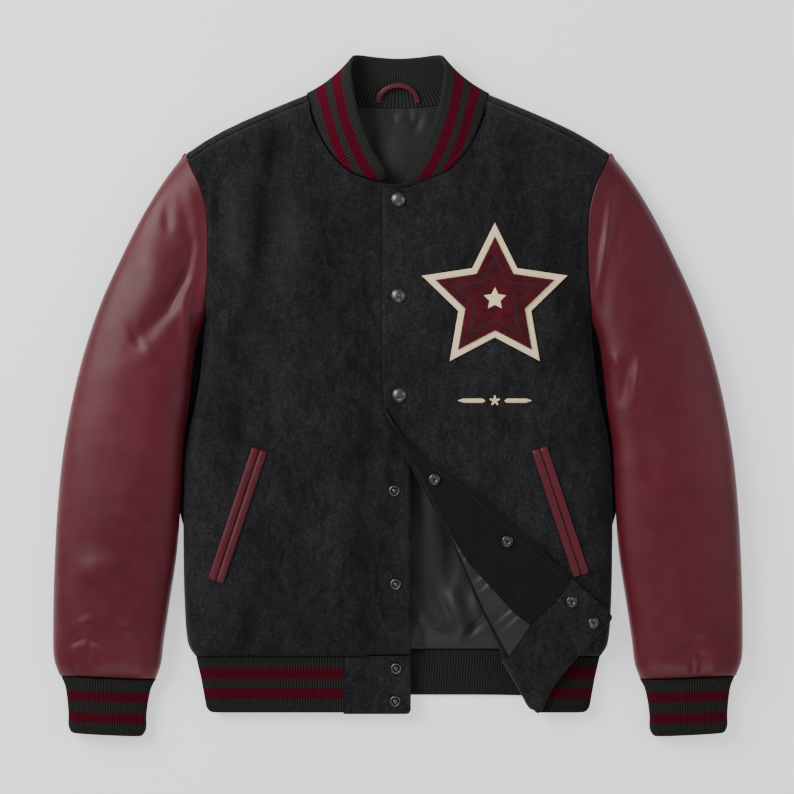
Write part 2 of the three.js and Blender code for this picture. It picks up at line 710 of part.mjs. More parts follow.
// Outlines on the turned-back corner, all from the fold line and the free edge
const HEM_BLOCK_SEAM = [
  { x: 190, y: -199 },
  { x: 176, y: -219.7 },
  { x: 146.6, y: -249.5 },
  { x: 122, y: -286 },
];
const FREE_EDGE_INSET = 1.4;
function insetFreeEdge(inset) {
  return FREE_EDGE.map((row, i) => {
    const [a, b] = [FREE_EDGE[Math.max(0, i - 1)], FREE_EDGE[Math.min(FREE_EDGE.length - 1, i + 1)]];
    const length = Math.hypot(b.x - a.x, b.y - a.y);
    return { x: row.x + ((b.y - a.y) / length) * inset, y: row.y - ((b.x - a.x) / length) * inset };
  });
}
const shiftedSeam = (shift) =>
  HEM_BLOCK_SEAM.map((row) => ({ x: row.x - shift * 0.71, y: row.y + shift * 0.71 }));

function turnedOutline(inset) {
  const edge = insetFreeEdge(inset);
  return [...edge, ...shiftedSeam(SEAM_GAP).slice(1), ...FOLD_LINE.slice(0, FOLD_HEM_ROW).reverse()];
}

function facingOutline() {
  const edge = insetFreeEdge(FREE_EDGE_INSET).slice(2);
  const seam = shiftedSeam(SEAM_GAP).slice(1, 3);
  return [...edge, ...seam, ...[...FACING_SEAM].slice(0, -1).reverse(), ...FOLD_LINE.slice(1, FOLD_FACING_ROW).reverse()];
}

function sliverOutline() {
  const shift = (row) => ({ x: row.x - 0.35, y: row.y - 0.35 });
  const seam = shiftedSeam(SEAM_GAP + 0.4).slice(2);
  return [...FACING_SEAM.slice(0, -1).map(shift), ...seam, ...FOLD_LINE.slice(FOLD_FACING_ROW + 1, FOLD_HEM_ROW).reverse()];
}

const blockOutline = () => [
  ...BLOCK_EDGE,
  ...FOLD_LINE.slice(FOLD_HEM_ROW, -1).reverse(),
  ...HEM_BLOCK_SEAM.slice(1, -1).reverse(),
];

// The back, with the strips that turn over the shoulders to the front seams
const BACK_HALF_COLUMNS = [0, 0.01, 0.03, 0.06, 0.1, 0.2, 0.29, 0.39, 0.5];
const BACK_COLUMNS = [
  ...BACK_HALF_COLUMNS,
  ...BACK_HALF_COLUMNS.slice(0, -1).reverse().map((share) => 1 - share),
];
const BACK_NECK_COLUMN = 0.29;
const BACK_ROWS = [0, 0.2, 0.4, 0.58, UNDERARM_ROW, 0.76, 0.86, 0.95, 0.98, 0.993, 1];

function backWall() {
  const edge = (side) => {
    const below = splineThrough(mirrored([{ x: 224, y: BACK_HEM_SEAM_Y }, ...SIDE_LINE.slice(1)], side));
    const above = splineThrough(mirrored(ARMHOLE, side));
    return (v) =>
      v <= UNDERARM_ROW ? below(v / UNDERARM_ROW) : above((v - UNDERARM_ROW) / (1 - UNDERARM_ROW));
  };
  const shoulder = splineThrough([...SHOULDER_LINE].reverse());
  const neck = splineThrough(BACK_NECK);
  const high = (u) => {
    const side = u < 0.5 ? -1 : 1;
    const half = u < 0.5 ? u : 1 - u;
    const place =
      half < BACK_NECK_COLUMN
        ? shoulder(half / BACK_NECK_COLUMN)
        : neck((half - BACK_NECK_COLUMN) / (0.5 - BACK_NECK_COLUMN));
    place.x *= side;
    return place;
  };
  const low = (u) => new THREE.Vector3(lerp(-224, 224, u), BACK_HEM_SEAM_Y, 0);
  const plan = patch({ low, high, first: edge(-1), last: edge(1) });
  const outer = (u, v) => {
    const place = plan(u, v);
    place.z = Math.min(bodyUnder(place.x, place.y), SIDE_SEAM_Z - SEAM_GAP / 2);
    return place;
  };
  const limit = (z) => Math.min(z, SIDE_SEAM_Z - SEAM_GAP / 2);
  const sheet = wall({ columns: BACK_COLUMNS, rows: BACK_ROWS, outer, inward: UP, thickness: WOOL, limit });
  return sheet.add(shoulderStrip(1)).add(shoulderStrip(-1));
}

const STRIP_START_X = 103;
const STRIP_END_X = 231.5;
const TONGUE_INSET = 0.8;
const TONGUE_DROP = 3;
function shoulderStrip(side) {
  const rings = [];
  const steps = 8;
  for (let k = 0; k <= steps; k += 1) {
    const x = lerp(STRIP_START_X, STRIP_END_X, k / steps);
    const y = valueAt(SHOULDER_LINE, 'x', 'y', x);
    const slope = valueAt(SHOULDER_LINE, 'x', 'y', x + 4) - valueAt(SHOULDER_LINE, 'x', 'y', x - 4);
    const inward = new THREE.Vector3(slope / 8, -1, 0).normalize();
    const rise = crownZ(x) - SIDE_SEAM_Z;
    const arc = (inset) =>
      [0.3, 2.2, 5, SHOULDER_TURN].map((distance) => {
        const lean = 1 - distance / EDGE_ROUND;
        const normal = new THREE.Vector2(lean / EDGE_ROUND, dome(distance, EDGE_ROUND) / rise).normalize();
        const away = distance + normal.x * inset;
        const z = SIDE_SEAM_Z + rise * dome(distance, EDGE_ROUND) - normal.y * inset;
        return new THREE.Vector3(x + inward.x * away, y + inward.y * away, z);
      });
    const tongue = (inset) =>
      new THREE.Vector3(x + inward.x * inset, y + inward.y * inset, SIDE_SEAM_Z - TONGUE_DROP);
    const lowStep = (inset) =>
      new THREE.Vector3(x + inward.x * inset, y + inward.y * inset, SIDE_SEAM_Z + SEAM_GAP);
    rings.push([
      tongue(TONGUE_INSET + 0.4),
      lowStep(TONGUE_INSET),
      ...arc(0),
      ...arc(WOOL).reverse(),
      tongue(WOOL - 0.4),
    ]);
  }
  const mirroredRings = rings.map((ring) => ring.map((p) => new THREE.Vector3(p.x * side, p.y, p.z)));
  return loft(mirroredRings, (p) => new THREE.Vector2(p.y - Math.abs(p.x) * -0.5, p.z));
}

// The back's lining, seen through the neck and the open front
const LINING_SIDES = [
  { y: -280, halfWidth: 190 },
  { y: -150, halfWidth: 200 },
  { y: 40, halfWidth: 180 },
  { y: 180, halfWidth: 176 },
  { y: 250, halfWidth: 160 },
  { y: 300, halfWidth: 58 },
  { y: 316.5, halfWidth: 36 },
];
const LINING_COLUMNS = [0, 0.25, 0.44, 0.5, 0.55, 0.59, 0.63, 0.67, 0.71, 0.78, 1];
const LINING_ROWS = [0, 0.03, 0.07, 0.11, 0.15, 0.21, 0.3, 0.45, 0.65, 0.87, 0.92, 0.97, 1];
function backLining() {
  const outer = (u, v) => {
    const y = lerp(BACK_HEM_SEAM_Y + 1, 316.5, v);
    const x = lerp(-1, 1, u) * valueAt(LINING_SIDES, 'y', 'halfWidth', y);
    const z = WOOL + SEAM_GAP + LINING - foldDepth(LINING_FOLDS, x, y);
    return new THREE.Vector3(x, y, z);
  };
  return wall({ columns: LINING_COLUMNS, rows: LINING_ROWS, outer, inward: DOWN, thickness: LINING });
}

// Sleeves: an upper and an under half, joined along the two long edges
const SLEEVE_ALONG = [0, 0.02, 0.06, 0.12, 0.19, 0.27, 0.35, 0.44, 0.54, 0.65, 0.76, 0.86, 0.93, 0.97, 0.99, 1];
const SLEEVE_ACROSS = [0, 0.05, 0.14, 0.25, 0.37, 0.5, 0.63, 0.75, 0.86, 0.95, 1];
const UNDER_ALONG = [0, 0.06, 0.18, 0.34, 0.5, 0.66, 0.82, 0.93, 1];
const UNDER_ACROSS = [0, 0.07, 0.16, 0.27, 0.5, 0.73, 0.84, 0.93, 1];
const ARMHOLE_BLEND = 0.14;
const SLEEVE_SHAPE = 0.8;
const CUFF_GATHER = 0.045;
const ARMHOLE_GAP = 1;

function sleevePlan(side) {
  const cuffSeam = splineThrough(mirrored(CUFF_SEAM, side));
  const armhole = splineThrough(mirrored([...ARMHOLE].reverse(), side));
  const seam = (p) => {
    const place = armhole(p);
    place.x += side * ARMHOLE_GAP;
    return place;
  };
  const outer = splineThrough(mirrored(SLEEVE_OUTER, side));
  const inner = splineThrough(mirrored(SLEEVE_INNER, side));
  return patch({ low: outer, high: inner, first: seam, last: cuffSeam });
}

function sleeveUpper(side, folds) {
  const plan = sleevePlan(side);
  const outer = (along, s) => {
    const turn = Math.PI * s;
    const place = plan(along, (1 - Math.cos(turn)) / 2);
    const swell = Math.sin(turn) ** SLEEVE_SHAPE;
    const rise = valueAt(SLEEVE_HEIGHTS, 'along', 'rise', along);
    const gather = dome(1 - along, CUFF_GATHER);
    const cuffRise = CUFF_TOP_Z - SIDE_SEAM_Z;
    const sleeve = SIDE_SEAM_Z + lerp(cuffRise, rise, gather) * swell - foldDepth(folds, place.x, place.y) * swell;
    const body = bodyTop(place.x, place.y);
    place.z = lerp(body, sleeve, smooth(0, ARMHOLE_BLEND, along));
    place.z = Math.max(place.z, SIDE_SEAM_Z + SEAM_GAP / 2);
    return place;
  };
  const limit = (z) => Math.max(z, SIDE_SEAM_Z + SEAM_GAP / 2);
  return wall({ columns: SLEEVE_ALONG, rows: SLEEVE_ACROSS, outer, inward: DOWN, thickness: LEATHER, limit });
}

function sleeveUnder(side) {
  const plan = sleevePlan(side);
  const outer = (along, s) => {
    const place = plan(along, (1 - Math.cos(Math.PI * s)) / 2);
    const x = Math.abs(place.x);
    const away = Math.min(
      distanceInside(OUTER_EDGE, x, place.y),
      distanceInside(INNER_EDGE, x, place.y),
    );
    const sleeve = SIDE_SEAM_Z * (1 - dome(away, UNDER_ROUND));
    place.z = Math.min(sleeve, SIDE_SEAM_Z - SEAM_GAP / 2);
    return place;
  };
  const limit = (z) => Math.min(z, SIDE_SEAM_Z - SEAM_GAP / 2);
  return wall({ columns: UNDER_ALONG, rows: UNDER_ACROSS, outer, inward: UP, thickness: LEATHER, limit });
}

// Knit bands. A ribbed line alternates between rib and furrow at half the rib pitch.
function evenPoints(points, count) {
  const lengths = [0];
  for (let i = 1; i < points.length; i += 1) {
    lengths.push(lengths[i - 1] + points[i].distanceTo(points[i - 1]));
  }
  const total = lengths[lengths.length - 1];
  return Array.from({ length: count }, (_, k) => {
    const goal = (total * k) / (count - 1);
    const i = Math.max(1, lengths.findIndex((length) => length >= goal - 1e-9));
    return points[i - 1].clone().lerp(points[i], (goal - lengths[i - 1]) / (lengths[i] - lengths[i - 1]));
  });
}

function ribbed(points, rise) {
  return points.map((p, i) => {
    const [a, b] = [points[Math.max(0, i - 1)], points[Math.min(points.length - 1, i + 1)]];
    const out = new THREE.Vector2(-(b.y - a.y), b.x - a.x).normalize();
    const ends = i === 0 || i === points.length - 1;
    return p.clone().addScaledVector(out, ends ? 0 : (i % 2 ? rise : -rise) * 1);
  });
}

// The upper hem line in x and z, from the side fold towards the middle
function hemLine(halfWidth, endX, topZ, inset, sign) {
  const points = [];
  const round = 18;
  for (const angle of [0, 15, 30, 45, 60, 75, 90]) {
    const turn = THREE.MathUtils.degToRad(angle);
    const x = halfWidth - inset - (round - inset) * (1 - Math.cos(turn));
    const span = sign > 0 ? topZ - inset - HEM_SIDE_Z : -(HEM_SIDE_Z - inset);
    points.push(new THREE.Vector2(x, HEM_SIDE_Z + span * Math.sin(turn) + (sign * SEAM_GAP) / 2));
  }
  points.push(new THREE.Vector2(endX, points[points.length - 1].y));
  return points;
}

function frontHem(side, endX) {
  const length = 225 - endX;
  const count = 2 * Math.round(length / RIB_PITCH) + 1;
  const rings = HEM_SIDES.map((row) => {
    const outer = ribbed(evenPoints(hemLine(row.halfWidth, endX, hemTop(row.y), 0, 1), count).reverse(), RIB_RISE);
    const inner = hemLine(row.halfWidth, endX, hemTop(row.y), KNIT, 1);
    return [...outer, ...inner].map((p) => new THREE.Vector3(side * p.x, row.y, p.y));
  });
  return loft(rings);
}

function backHem() {
  const line = (halfWidth, inset) => {
    const half = hemLine(halfWidth, 0, 0, inset, -1);
    return [...half.map((p) => new THREE.Vector2(-p.x, p.y)), ...half.slice(0, -1).reverse()];
  };
  const count = 2 * Math.round(430 / RIB_PITCH) + 1;
  const rings = BACK_HEM_SIDES.map((row) => {
    const isEdge = row.y === BACK_HEM_EDGE_Y;
    const drop = (x) => (isEdge ? BACK_HEM_CORNER_DROP * Math.abs(x / row.halfWidth) ** 6 : 0);
    const under = line(row.halfWidth, 0);
    const inside = ribbed(evenPoints(line(row.halfWidth, KNIT), count), RIB_RISE).reverse();
    return [...under, ...inside].map((p) => new THREE.Vector3(p.x, row.y - drop(p.x), Math.max(0, p.y)));
  });
  return loft(rings);
}

const BLOCK_TOP = [
  { x: -60, y: HEM_SEAM_Y - SEAM_GAP },
  { x: UNDERLAP_X, y: HEM_SEAM_Y - SEAM_GAP },
  { x: UNDERLAP_X, y: -347 },
  { x: 10.5, y: -351 },
  { x: -60, y: -350 },
];
const leftHemBlock = () => layer(BLOCK_TOP, (x, y) => hemTop(y) - KNIT, KNIT, 40);

function rightHemBlock() {
  const block = layer(blockOutline(), flapUnder, WOOL + SEAM_GAP + FACING, 20);
  const under = (x, y) => hemTop(y);
  const fold = foldStrip(FOLD_HEM_ROW, FOLD_LINE.length - 1, under, WOOL, 0, 0.03);
  return block.add(fold);
}

const HEM_FOLD_CLEARANCE = 5.5;
function rightHem() {
  const band = frontHem(1, 118);
  const keep = [
    { x: 122 + HEM_FOLD_CLEARANCE, y: -280 },
    { x: 152 + HEM_FOLD_CLEARANCE, y: -352 },
    { x: 240, y: -352 },
    { x: 240, y: -280 },
  ];
  return band.intersect(prism(keep));
}

function cuff(side) {
  const ring = (row, inset, count, ribs) => {
    const middle = (row.outerX + row.innerX) / 2;
    const half = (row.outerX - row.innerX) / 2 - inset;
    const [low, high] = [inset, row.top - inset];
    const centre = row.top / 2;
    const curve = (from, to, power, reach) =>
      Array.from({ length: 41 }, (_, k) => {
        const turn = lerp(from, to, k / 40);
        const z = centre + reach * Math.abs(Math.sin(turn)) ** power;
        return new THREE.Vector2(middle + half * Math.cos(turn), z);
      });
    const upper = evenPoints(curve(0, Math.PI, 0.6, high - centre), count);
    const lower = evenPoints(curve(Math.PI, 2 * Math.PI, 0.35, low - centre), 9).slice(1, -1);
    const flatLower = lower.map((p) => new THREE.Vector2(p.x, p.y - low < 0.8 ? low : p.y));
    const outline = [...(ribs ? ribbed(upper, -RIB_RISE) : upper), ...flatLower];
    return outline.map((p) => {
      const share = (row.outerX - p.x) / (row.outerX - row.innerX);
      return new THREE.Vector3(side * p.x, lerp(row.outerY, row.innerY, share), p.y);
    });
  };
  const count = 2 * Math.round(112 / RIB_PITCH) + 1;
  const outside = loft(CUFF_SECTIONS.map((row) => ring(row, 0, count, true)));
  const longer = CUFF_SECTIONS.map((row, i) => {
    const reach = i === 0 ? 3 : i === CUFF_SECTIONS.length - 1 ? -3 : 0;
    return { ...row, outerY: row.outerY + reach, innerY: row.innerY + reach };
  });
  return outside.subtract(loft(longer.map((row) => ring(row, KNIT, 15, false))));
}

// The collar: straight lines from its seam to its free edge, carried round the neck and folded at each side
const COLLAR_STATIONS = [
  { seamX: 14, seamY: 236, seamZ: 27, freeX: 7, freeY: 240.5, freeZ: 27.5 },
  { seamX: 34.6, seamY: 241.2, seamZ: 28.5, freeX: 16.5, freeY: 251.5, freeZ: 31 },
  { seamX: 54.4, seamY: 250.3, seamZ: 30, freeX: 27.5, freeY: 270, freeZ: 35 },
  { seamX: 72.2, seamY: 268.4, seamZ: 31, freeX: 36, freeY: 290, freeZ: 38 },
  { seamX: 83.8, seamY: 287.9, seamZ: 30, freeX: 43, freeY: 311, freeZ: 39 },
  { seamX: 93.2, seamY: 312.2, seamZ: 25, freeX: 48, freeY: 334, freeZ: 38 },
  { seamX: 95.5, seamY: 324, seamZ: 20, freeX: 51, freeY: 354, freeZ: 34 },
  { seamX: 96, seamY: 330.5, seamZ: 17, freeX: 47, freeY: 369.5, freeZ: 28 },
  { seamX: 98.6, seamY: 333.6, seamZ: 13.5, freeX: 48, freeY: 374, freeZ: 20 },
  { seamX: 97, seamY: 334.8, seamZ: 9, freeX: 44, freeY: 373.5, freeZ: 12 },
  { seamX: 88, seamY: 332.6, seamZ: 5, freeX: 37, freeY: 372.5, freeZ: 8 },
  { seamX: 70, seamY: 328, seamZ: 3, freeX: 29, freeY: 372, freeZ: 6.5 },
  { seamX: 40, seamY: 323.2, seamZ: 2.7, freeX: 16, freeY: 371.6, freeZ: 6 },
  { seamX: 0, seamY: 321, seamZ: 2.7, freeX: 0, freeY: 371.4, freeZ: 6 },
];
const COLLAR_LEFT_END = { seamX: 20, seamY: 237.6, seamZ: 23.4, freeX: 12, freeY: 243, freeZ: 24 };
const COLLAR_CROWN = 1.5;
function collar() {
  const flip = (row) => ({ ...row, seamX: -row.seamX, freeX: -row.freeX });
  const left = [COLLAR_LEFT_END, ...COLLAR_STATIONS.slice(1)].map(flip);
  const right = [...COLLAR_STATIONS.slice(0, -1)].reverse();
  const stations = [...left, ...right];
  const curveOf = (end) =>
    new THREE.CatmullRomCurve3(
      stations.map((row) => new THREE.Vector3(row[`${end}X`], row[`${end}Y`], row[`${end}Z`])),
      false,
      'catmullrom',
      0.5,
    );
  const [seam, free] = [curveOf('seam'), curveOf('free')];
  const middle = (t) => seam.getPoint(t).add(free.getPoint(t)).multiplyScalar(0.5);
  const fine = 1200;
  const lengths = [0];
  for (let k = 1; k <= fine; k += 1) {
    lengths.push(lengths[k - 1] + middle(k / fine).distanceTo(middle((k - 1) / fine)));
  }
  const total = lengths[fine];
  const count = 2 * Math.round(total / RIB_PITCH);
  const rings = [];
  for (let k = 0; k <= count; k += 1) {
    const goal = (total * k) / count;
    const i = Math.max(1, lengths.findIndex((length) => length >= goal - 1e-9));
    const t = (i - 1 + (goal - lengths[i - 1]) / (lengths[i] - lengths[i - 1])) / fine;
    const [low, high] = [seam.getPoint(t), free.getPoint(t)];
    const ahead = middle(Math.min(1, t + 0.004)).sub(middle(Math.max(0, t - 0.004)));
    const out = high.clone().sub(low).cross(ahead).normalize();
    const half = KNIT / 2 + (k % 2 ? RIB_RISE : -RIB_RISE) / 1;
    const centre = low.clone().lerp(high, 0.5).addScaledVector(out, half + COLLAR_CROWN);
    const shift = (p, by) => p.clone().addScaledVector(out, by);
    rings.push([shift(low, half), centre, shift(high, half), shift(high, -half), shift(low, -half)]);
  }
  const axes = (p) => new THREE.Vector2(p.x * 0.3 + p.y, p.z);
  return loft(rings, axes);
}

// Trims that lie on the panels
function starOutline(radius, x, y) {
  const inner = radius * 0.5;
  return Array.from({ length: 10 }, (_, k) => {
    const turn = Math.PI / 2 + (k * Math.PI) / 5;
    const reach = k % 2 ? inner : radius;
    return { x: x + reach * Math.cos(turn), y: y + reach * Math.sin(turn) };
  });
}

function welt({ side, topX, topY, lowX, lowY }, strip, restOn) {
  const along = new THREE.Vector2(lowX - topX, lowY - topY).normalize();
  const across = new THREE.Vector2(-along.y, along.x).multiplyScalar(strip);
  const rings = Array.from({ length: WELT_STEPS + 1 }, (_, k) => {
    const share = k / WELT_STEPS;
    const at = (out, lift) => {
      const x = side * (lerp(topX, lowX, share) + across.x * out);
      const y = lerp(topY, lowY, share) + across.y * out;
      return new THREE.Vector3(x, y, restOn(x, y) + 2 * LYING_GAP + lift);
    };
    const [near, far] = [WELT_SLIT / 2, WELT_SLIT / 2 + WELT_WIDTH];
    const middle = (near + far) / 2;
    return [
      at(near, 0),
      at(far, 0),
      at(far - 0.5, WELT_THICK * 0.6),
      at(middle, WELT_THICK),
      at(near + 0.5, WELT_THICK * 0.7),
    ];
  });
  return loft(rings, (p) => new THREE.Vector2(p.x, p.z));
}

function snap(profile, place, restOn) {
  const points = profile.map((row) => new THREE.Vector2(row.r, row.z));
  const solid = solidFromGeometry(new THREE.LatheGeometry([...points], SNAP_SEGMENTS));
  const reach = 5.5;
  const height = (dx, dy) => restOn(place.x + dx, place.y + dy);
  const normal = new THREE.Vector3(
    height(-reach, 0) - height(reach, 0),
    height(0, -reach) - height(0, reach),
    2 * reach,
  ).normalize();
  const rim = [height(reach, 0), height(-reach, 0), height(0, reach), height(0, -reach)];
  const level = Math.max(height(0, 0), rim.reduce((sum, z) => sum + z, 0) / rim.length);
  const turn = new THREE.Matrix4().makeRotationFromQuaternion(
    new THREE.Quaternion().setFromUnitVectors(new THREE.Vector3(0, 1, 0), normal),
  );
  turn.setPosition(place.x, place.y, level + LYING_GAP);
  return solid.transform(turn.elements);
}

function hangLoop(restOn) {
  const arch = Array.from({ length: 9 }, (_, k) => {
    const turn = Math.PI * (k / 8);
    const x = LOOP.halfSpan * Math.cos(turn);
    const y = LOOP.baseY + (LOOP.apexY - LOOP.baseY) * Math.sin(turn);
    return new THREE.Vector3(x, y, restOn(x, y) + LYING_GAP + LOOP.halfThick + 1.2 * Math.sin(turn));
  });
  const path = new THREE.CatmullRomCurve3(arch);
  const shape = new THREE.Shape(
    Array.from({ length: 8 }, (_, k) => {
      const turn = (k / 8) * 2 * Math.PI;
      return new THREE.Vector2(LOOP.halfThick * Math.cos(turn), LOOP.halfWidth * Math.sin(turn));
    }),
  );
  const rings = Array.from({ length: 17 }, (_, k) => {
    const here = path.getPoint(k / 16);
    const ahead = path.getTangent(k / 16).setZ(0).normalize();
    const across = new THREE.Vector3(-ahead.y, ahead.x, 0);
    return shape.getPoints().slice(0, 8).map((p) => here.clone().addScaledVector(across, p.y).setZ(here.z + p.x));
  });
  return loft(rings, (p) => new THREE.Vector2(p.x, p.z));
}

// The garment
const jacket = new THREE.Group();
jacket.name = 'varsity_jacket';

const finishes = {
  wool: new THREE.MeshStandardMaterial({ color: CHARCOAL, roughness: 0.95, metalness: 0 }),
  leather: new THREE.MeshStandardMaterial({ color: MAROON, roughness: 0.45, metalness: 0 }),
  knit: new THREE.MeshStandardMaterial({ color: KNIT_GREY, roughness: 0.9, metalness: 0 }),
  lining: new THREE.MeshStandardMaterial({ color: SATIN, roughness: 0.4, metalness: 0 }),
  felt: new THREE.MeshStandardMaterial({ color: CREAM, roughness: 0.95, metalness: 0 }),
  chenille: new THREE.MeshStandardMaterial({ color: DEEP_MAROON, roughness: 1, metalness: 0 }),
  metal: new THREE.MeshStandardMaterial({ color: STEEL, roughness: 0.35, metalness: 1 }),
};

function place(name, solid, finish) {
  const mesh = new THREE.Mesh(geometryOf(solid), finishes[finish]);
  mesh.name = name;
  jacket.add(mesh);
  return solid;
}

place('back', backWall(), 'wool');
place('back_lining', backLining(), 'lining');
const frontLeft = place('front_left', leftFront(), 'wool');
const frontRight = place('front_right', rightFront(), 'wool');
const onLeft = topOf(frontLeft);
const onRight = topOf(frontRight);
const leftTop = (x, y) => onLeft(x, y, bodyTop);
const rightTop = (x, y) => onRight(x, y, bodyTop);

const cornerTop = (x, y) => flapUnder(x, y) + WOOL + SEAM_GAP;
const facing = place('facing_right', layer(facingOutline(), cornerTop, FACING), 'wool');
place('lining_right', layer(sliverOutline(), cornerTop, LINING), 'lining');

place('sleeve_left_upper', sleeveUpper(-1, LEFT_SLEEVE_FOLDS), 'leather');
place('sleeve_left_under', sleeveUnder(-1), 'leather');
place('sleeve_right_upper', sleeveUpper(1, RIGHT_SLEEVE_FOLDS), 'leather');
place('sleeve_right_under', sleeveUnder(1), 'leather');
place('cuff_left', cuff(-1), 'knit');
place('cuff_right', cuff(1), 'knit');
const collarSolid = place('collar', collar(), 'knit');
place('hem_back', backHem(), 'knit');
place('hem_left', frontHem(-1, 60.4), 'knit');
place('hem_right', rightHem(), 'knit');
const leftBlock = place('hem_block_left', leftHemBlock(), 'wool');
const rightBlock = place('hem_block_right', rightHemBlock(), 'wool');

place('welt_left_inner', welt(POCKET_LEFT, -1, leftTop), 'leather');
place('welt_left_outer', welt(POCKET_LEFT, 1, leftTop), 'leather');
place('welt_right_inner', welt(POCKET_RIGHT, -1, rightTop), 'leather');
place('welt_right_outer', welt(POCKET_RIGHT, 1, rightTop), 'leather');

const feltUnder = (x, y) => rightTop(x, y) + LYING_GAP;
const felt = layer(starOutline(STAR.radius, STAR.x, STAR.y), feltUnder, STAR.feltThick);
place('patch_felt', felt, 'felt');
const onFelt = topOf(felt);
const pileUnder = (x, y) => onFelt(x, y, (a, b) => feltUnder(a, b) + STAR.feltThick) + SEAM_GAP;
place('patch_chenille', layer(starOutline(STAR.radius - STAR.border * 1.7, STAR.x, STAR.y), pileUnder, STAR.pileThick), 'chenille');

const onCollar = topOf(collarSolid);
place('hang_loop', hangLoop((x, y) => onCollar(x, y, () => 5) + RIB_RISE), 'leather');

SNAP_CAPS.forEach((row, i) => place(`snap_cap_${i + 1}`, snap(CAP_PROFILE, row, rightTop), 'metal'));
const [onLeftBlock, onRightBlock, onFacing] = [topOf(leftBlock), topOf(rightBlock), topOf(facing)];
SNAP_STUDS.forEach((row, i) => {
  const restOn = (x, y) => onLeftBlock(x, y, leftTop);
  place(`snap_stud_${i + 1}`, snap(STUD_PROFILE, row, restOn), 'metal');
});
SNAP_SOCKETS.forEach((row, i) => {
  const restOn = (x, y) => onRightBlock(x, y, (a, b) => onFacing(a, b, (c, d) => cornerTop(c, d) + FACING));
  place(`snap_socket_${i + 1}`, snap(SOCKET_PROFILE, row, restOn), 'metal');
});

export default jacket;
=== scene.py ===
"""A varsity jacket laid flat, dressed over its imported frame."""
import math

import bmesh
import bpy
import numpy as np
from bpy.props import FloatProperty, FloatVectorProperty, IntProperty, PointerProperty
from mathutils import Matrix, Vector


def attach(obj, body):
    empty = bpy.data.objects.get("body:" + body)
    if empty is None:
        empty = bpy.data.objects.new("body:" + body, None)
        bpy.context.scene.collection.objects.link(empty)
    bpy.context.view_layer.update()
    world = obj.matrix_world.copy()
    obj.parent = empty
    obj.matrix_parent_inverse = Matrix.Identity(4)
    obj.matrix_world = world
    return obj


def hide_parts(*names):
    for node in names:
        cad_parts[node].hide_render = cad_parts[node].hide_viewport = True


bl_info = {
    "name": "Varsity jacket",
    "version": (1, 0, 0),
    "blender": (4, 5, 0),
    "location": "View3D > Sidebar > Jacket",
    "description": "Builds a varsity jacket laid flat, with its cloth, knit, leather and trim",
    "category": "Add Mesh",
}

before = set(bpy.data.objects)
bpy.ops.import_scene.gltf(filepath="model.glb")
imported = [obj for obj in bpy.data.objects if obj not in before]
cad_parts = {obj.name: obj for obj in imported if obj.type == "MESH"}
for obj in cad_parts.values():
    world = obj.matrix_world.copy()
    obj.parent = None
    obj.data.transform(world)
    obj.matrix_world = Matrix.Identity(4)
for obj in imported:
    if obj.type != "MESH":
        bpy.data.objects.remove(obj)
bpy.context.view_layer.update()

MM = 0.001

# Walls and heights, in millimetres as in the solids
WOOL = 3.0
LEATHER = 1.8
KNIT = 4.0
LINING = 1.0
FACING = 1.6
SEAM_GAP = 0.3
FOLD_WALL = 2.6
SIDE_SEAM_Z = 12.0
BODY_TOP_Z = 34.0
PLACKET_DIP = 5.0
PLACKET_DIP_WIDTH = 70.0
EDGE_ROUND = 46.0
UNDER_ROUND = 22.0
HEM_TOP_Z = 18.0
HEM_FALL = 1.5
HEM_SIDE_Z = 11.0
BLOUSE_ROUND = 38.0
CUFF_TOP_Z = 25.0

# Places on the laid jacket
HEM_SEAM_Y = -286.0
HEM_EDGE_Y = -349.0
BACK_HEM_SEAM_Y = -281.0
BACK_HEM_EDGE_Y = -331.0
BACK_HEM_CORNER_DROP = 14.0
UNDERLAP_X = 14.3
OVERLAP_X = -17.0
UNDERLAP_DROP = 4.0
SHOULDER_TURN = 9.0
ARMHOLE_TOP_X = 229.0
CUFF_GATHER = 0.045
ARMHOLE_BLEND = 0.14
GROOVE_LOW_Y = -152
GROOVE_HIGH_Y = 87
SLEEVE_SHAPE = 0.7
FLAP_OVERHANG = 12.0
FLAP_GAP = 0.8

# The outlines of the right half, as x and y. The left half is their mirror.
SIDE_LINE = [
    (224, -286), (230, -277), (233, -264), (235.5, -224), (236.5, -180), (236.5, -114),
    (234, -59), (229, -32), (220.5, 6.6), (215, 56), (213, 84),
]
ARMHOLE = [
    (213, 84), (210, 113), (208.3, 147), (208, 180), (210, 207), (217, 232), (226, 250), (233.5, 267.5),
]
SHOULDER_LINE = [
    (99.6, 333), (118, 325.6), (144.6, 314.6), (170, 303.6), (193, 292.6), (212, 281.8), (233.5, 267.5),
]
NECKLINE = [(97.5, 322), (96.5, 311.6), (86.6, 286.3), (74.8, 266.2), (56.2, 247.6), (36, 238.4)]
UNDERLAP_NECK = [(17, 234), (0, 232.5), (-14.3, 232)]
OVERLAP_NECK = [(20, 231), (5, 227.5), (-9, 226.5), (-17, 230)]
BACK_NECK = [(99.6, 333), (70, 326), (35, 320.5), (0, 319)]
SLEEVE_OUTER = [
    (233.5, 267.5), (249, 248.6), (264.5, 226.6), (284, 193.6), (306, 149.6), (326, 105.6), (341.6, 61.6),
    (353.7, 17.6), (363, -26.4), (370, -70.4), (375.5, -130), (379, -202.4), (380, -250), (379, -290),
    (373, -308),
]
SLEEVE_INNER = [
    (213.4, 84), (221, 62), (226, 30), (230, -8), (236, -52), (239.5, -114), (243.5, -170),
    (251.4, -224.4), (258, -268.4), (261.5, -296), (267, -311.6),
]
CUFF_SEAM = [(373, -308), (335, -308.6), (300, -310.2), (267, -311.6)]
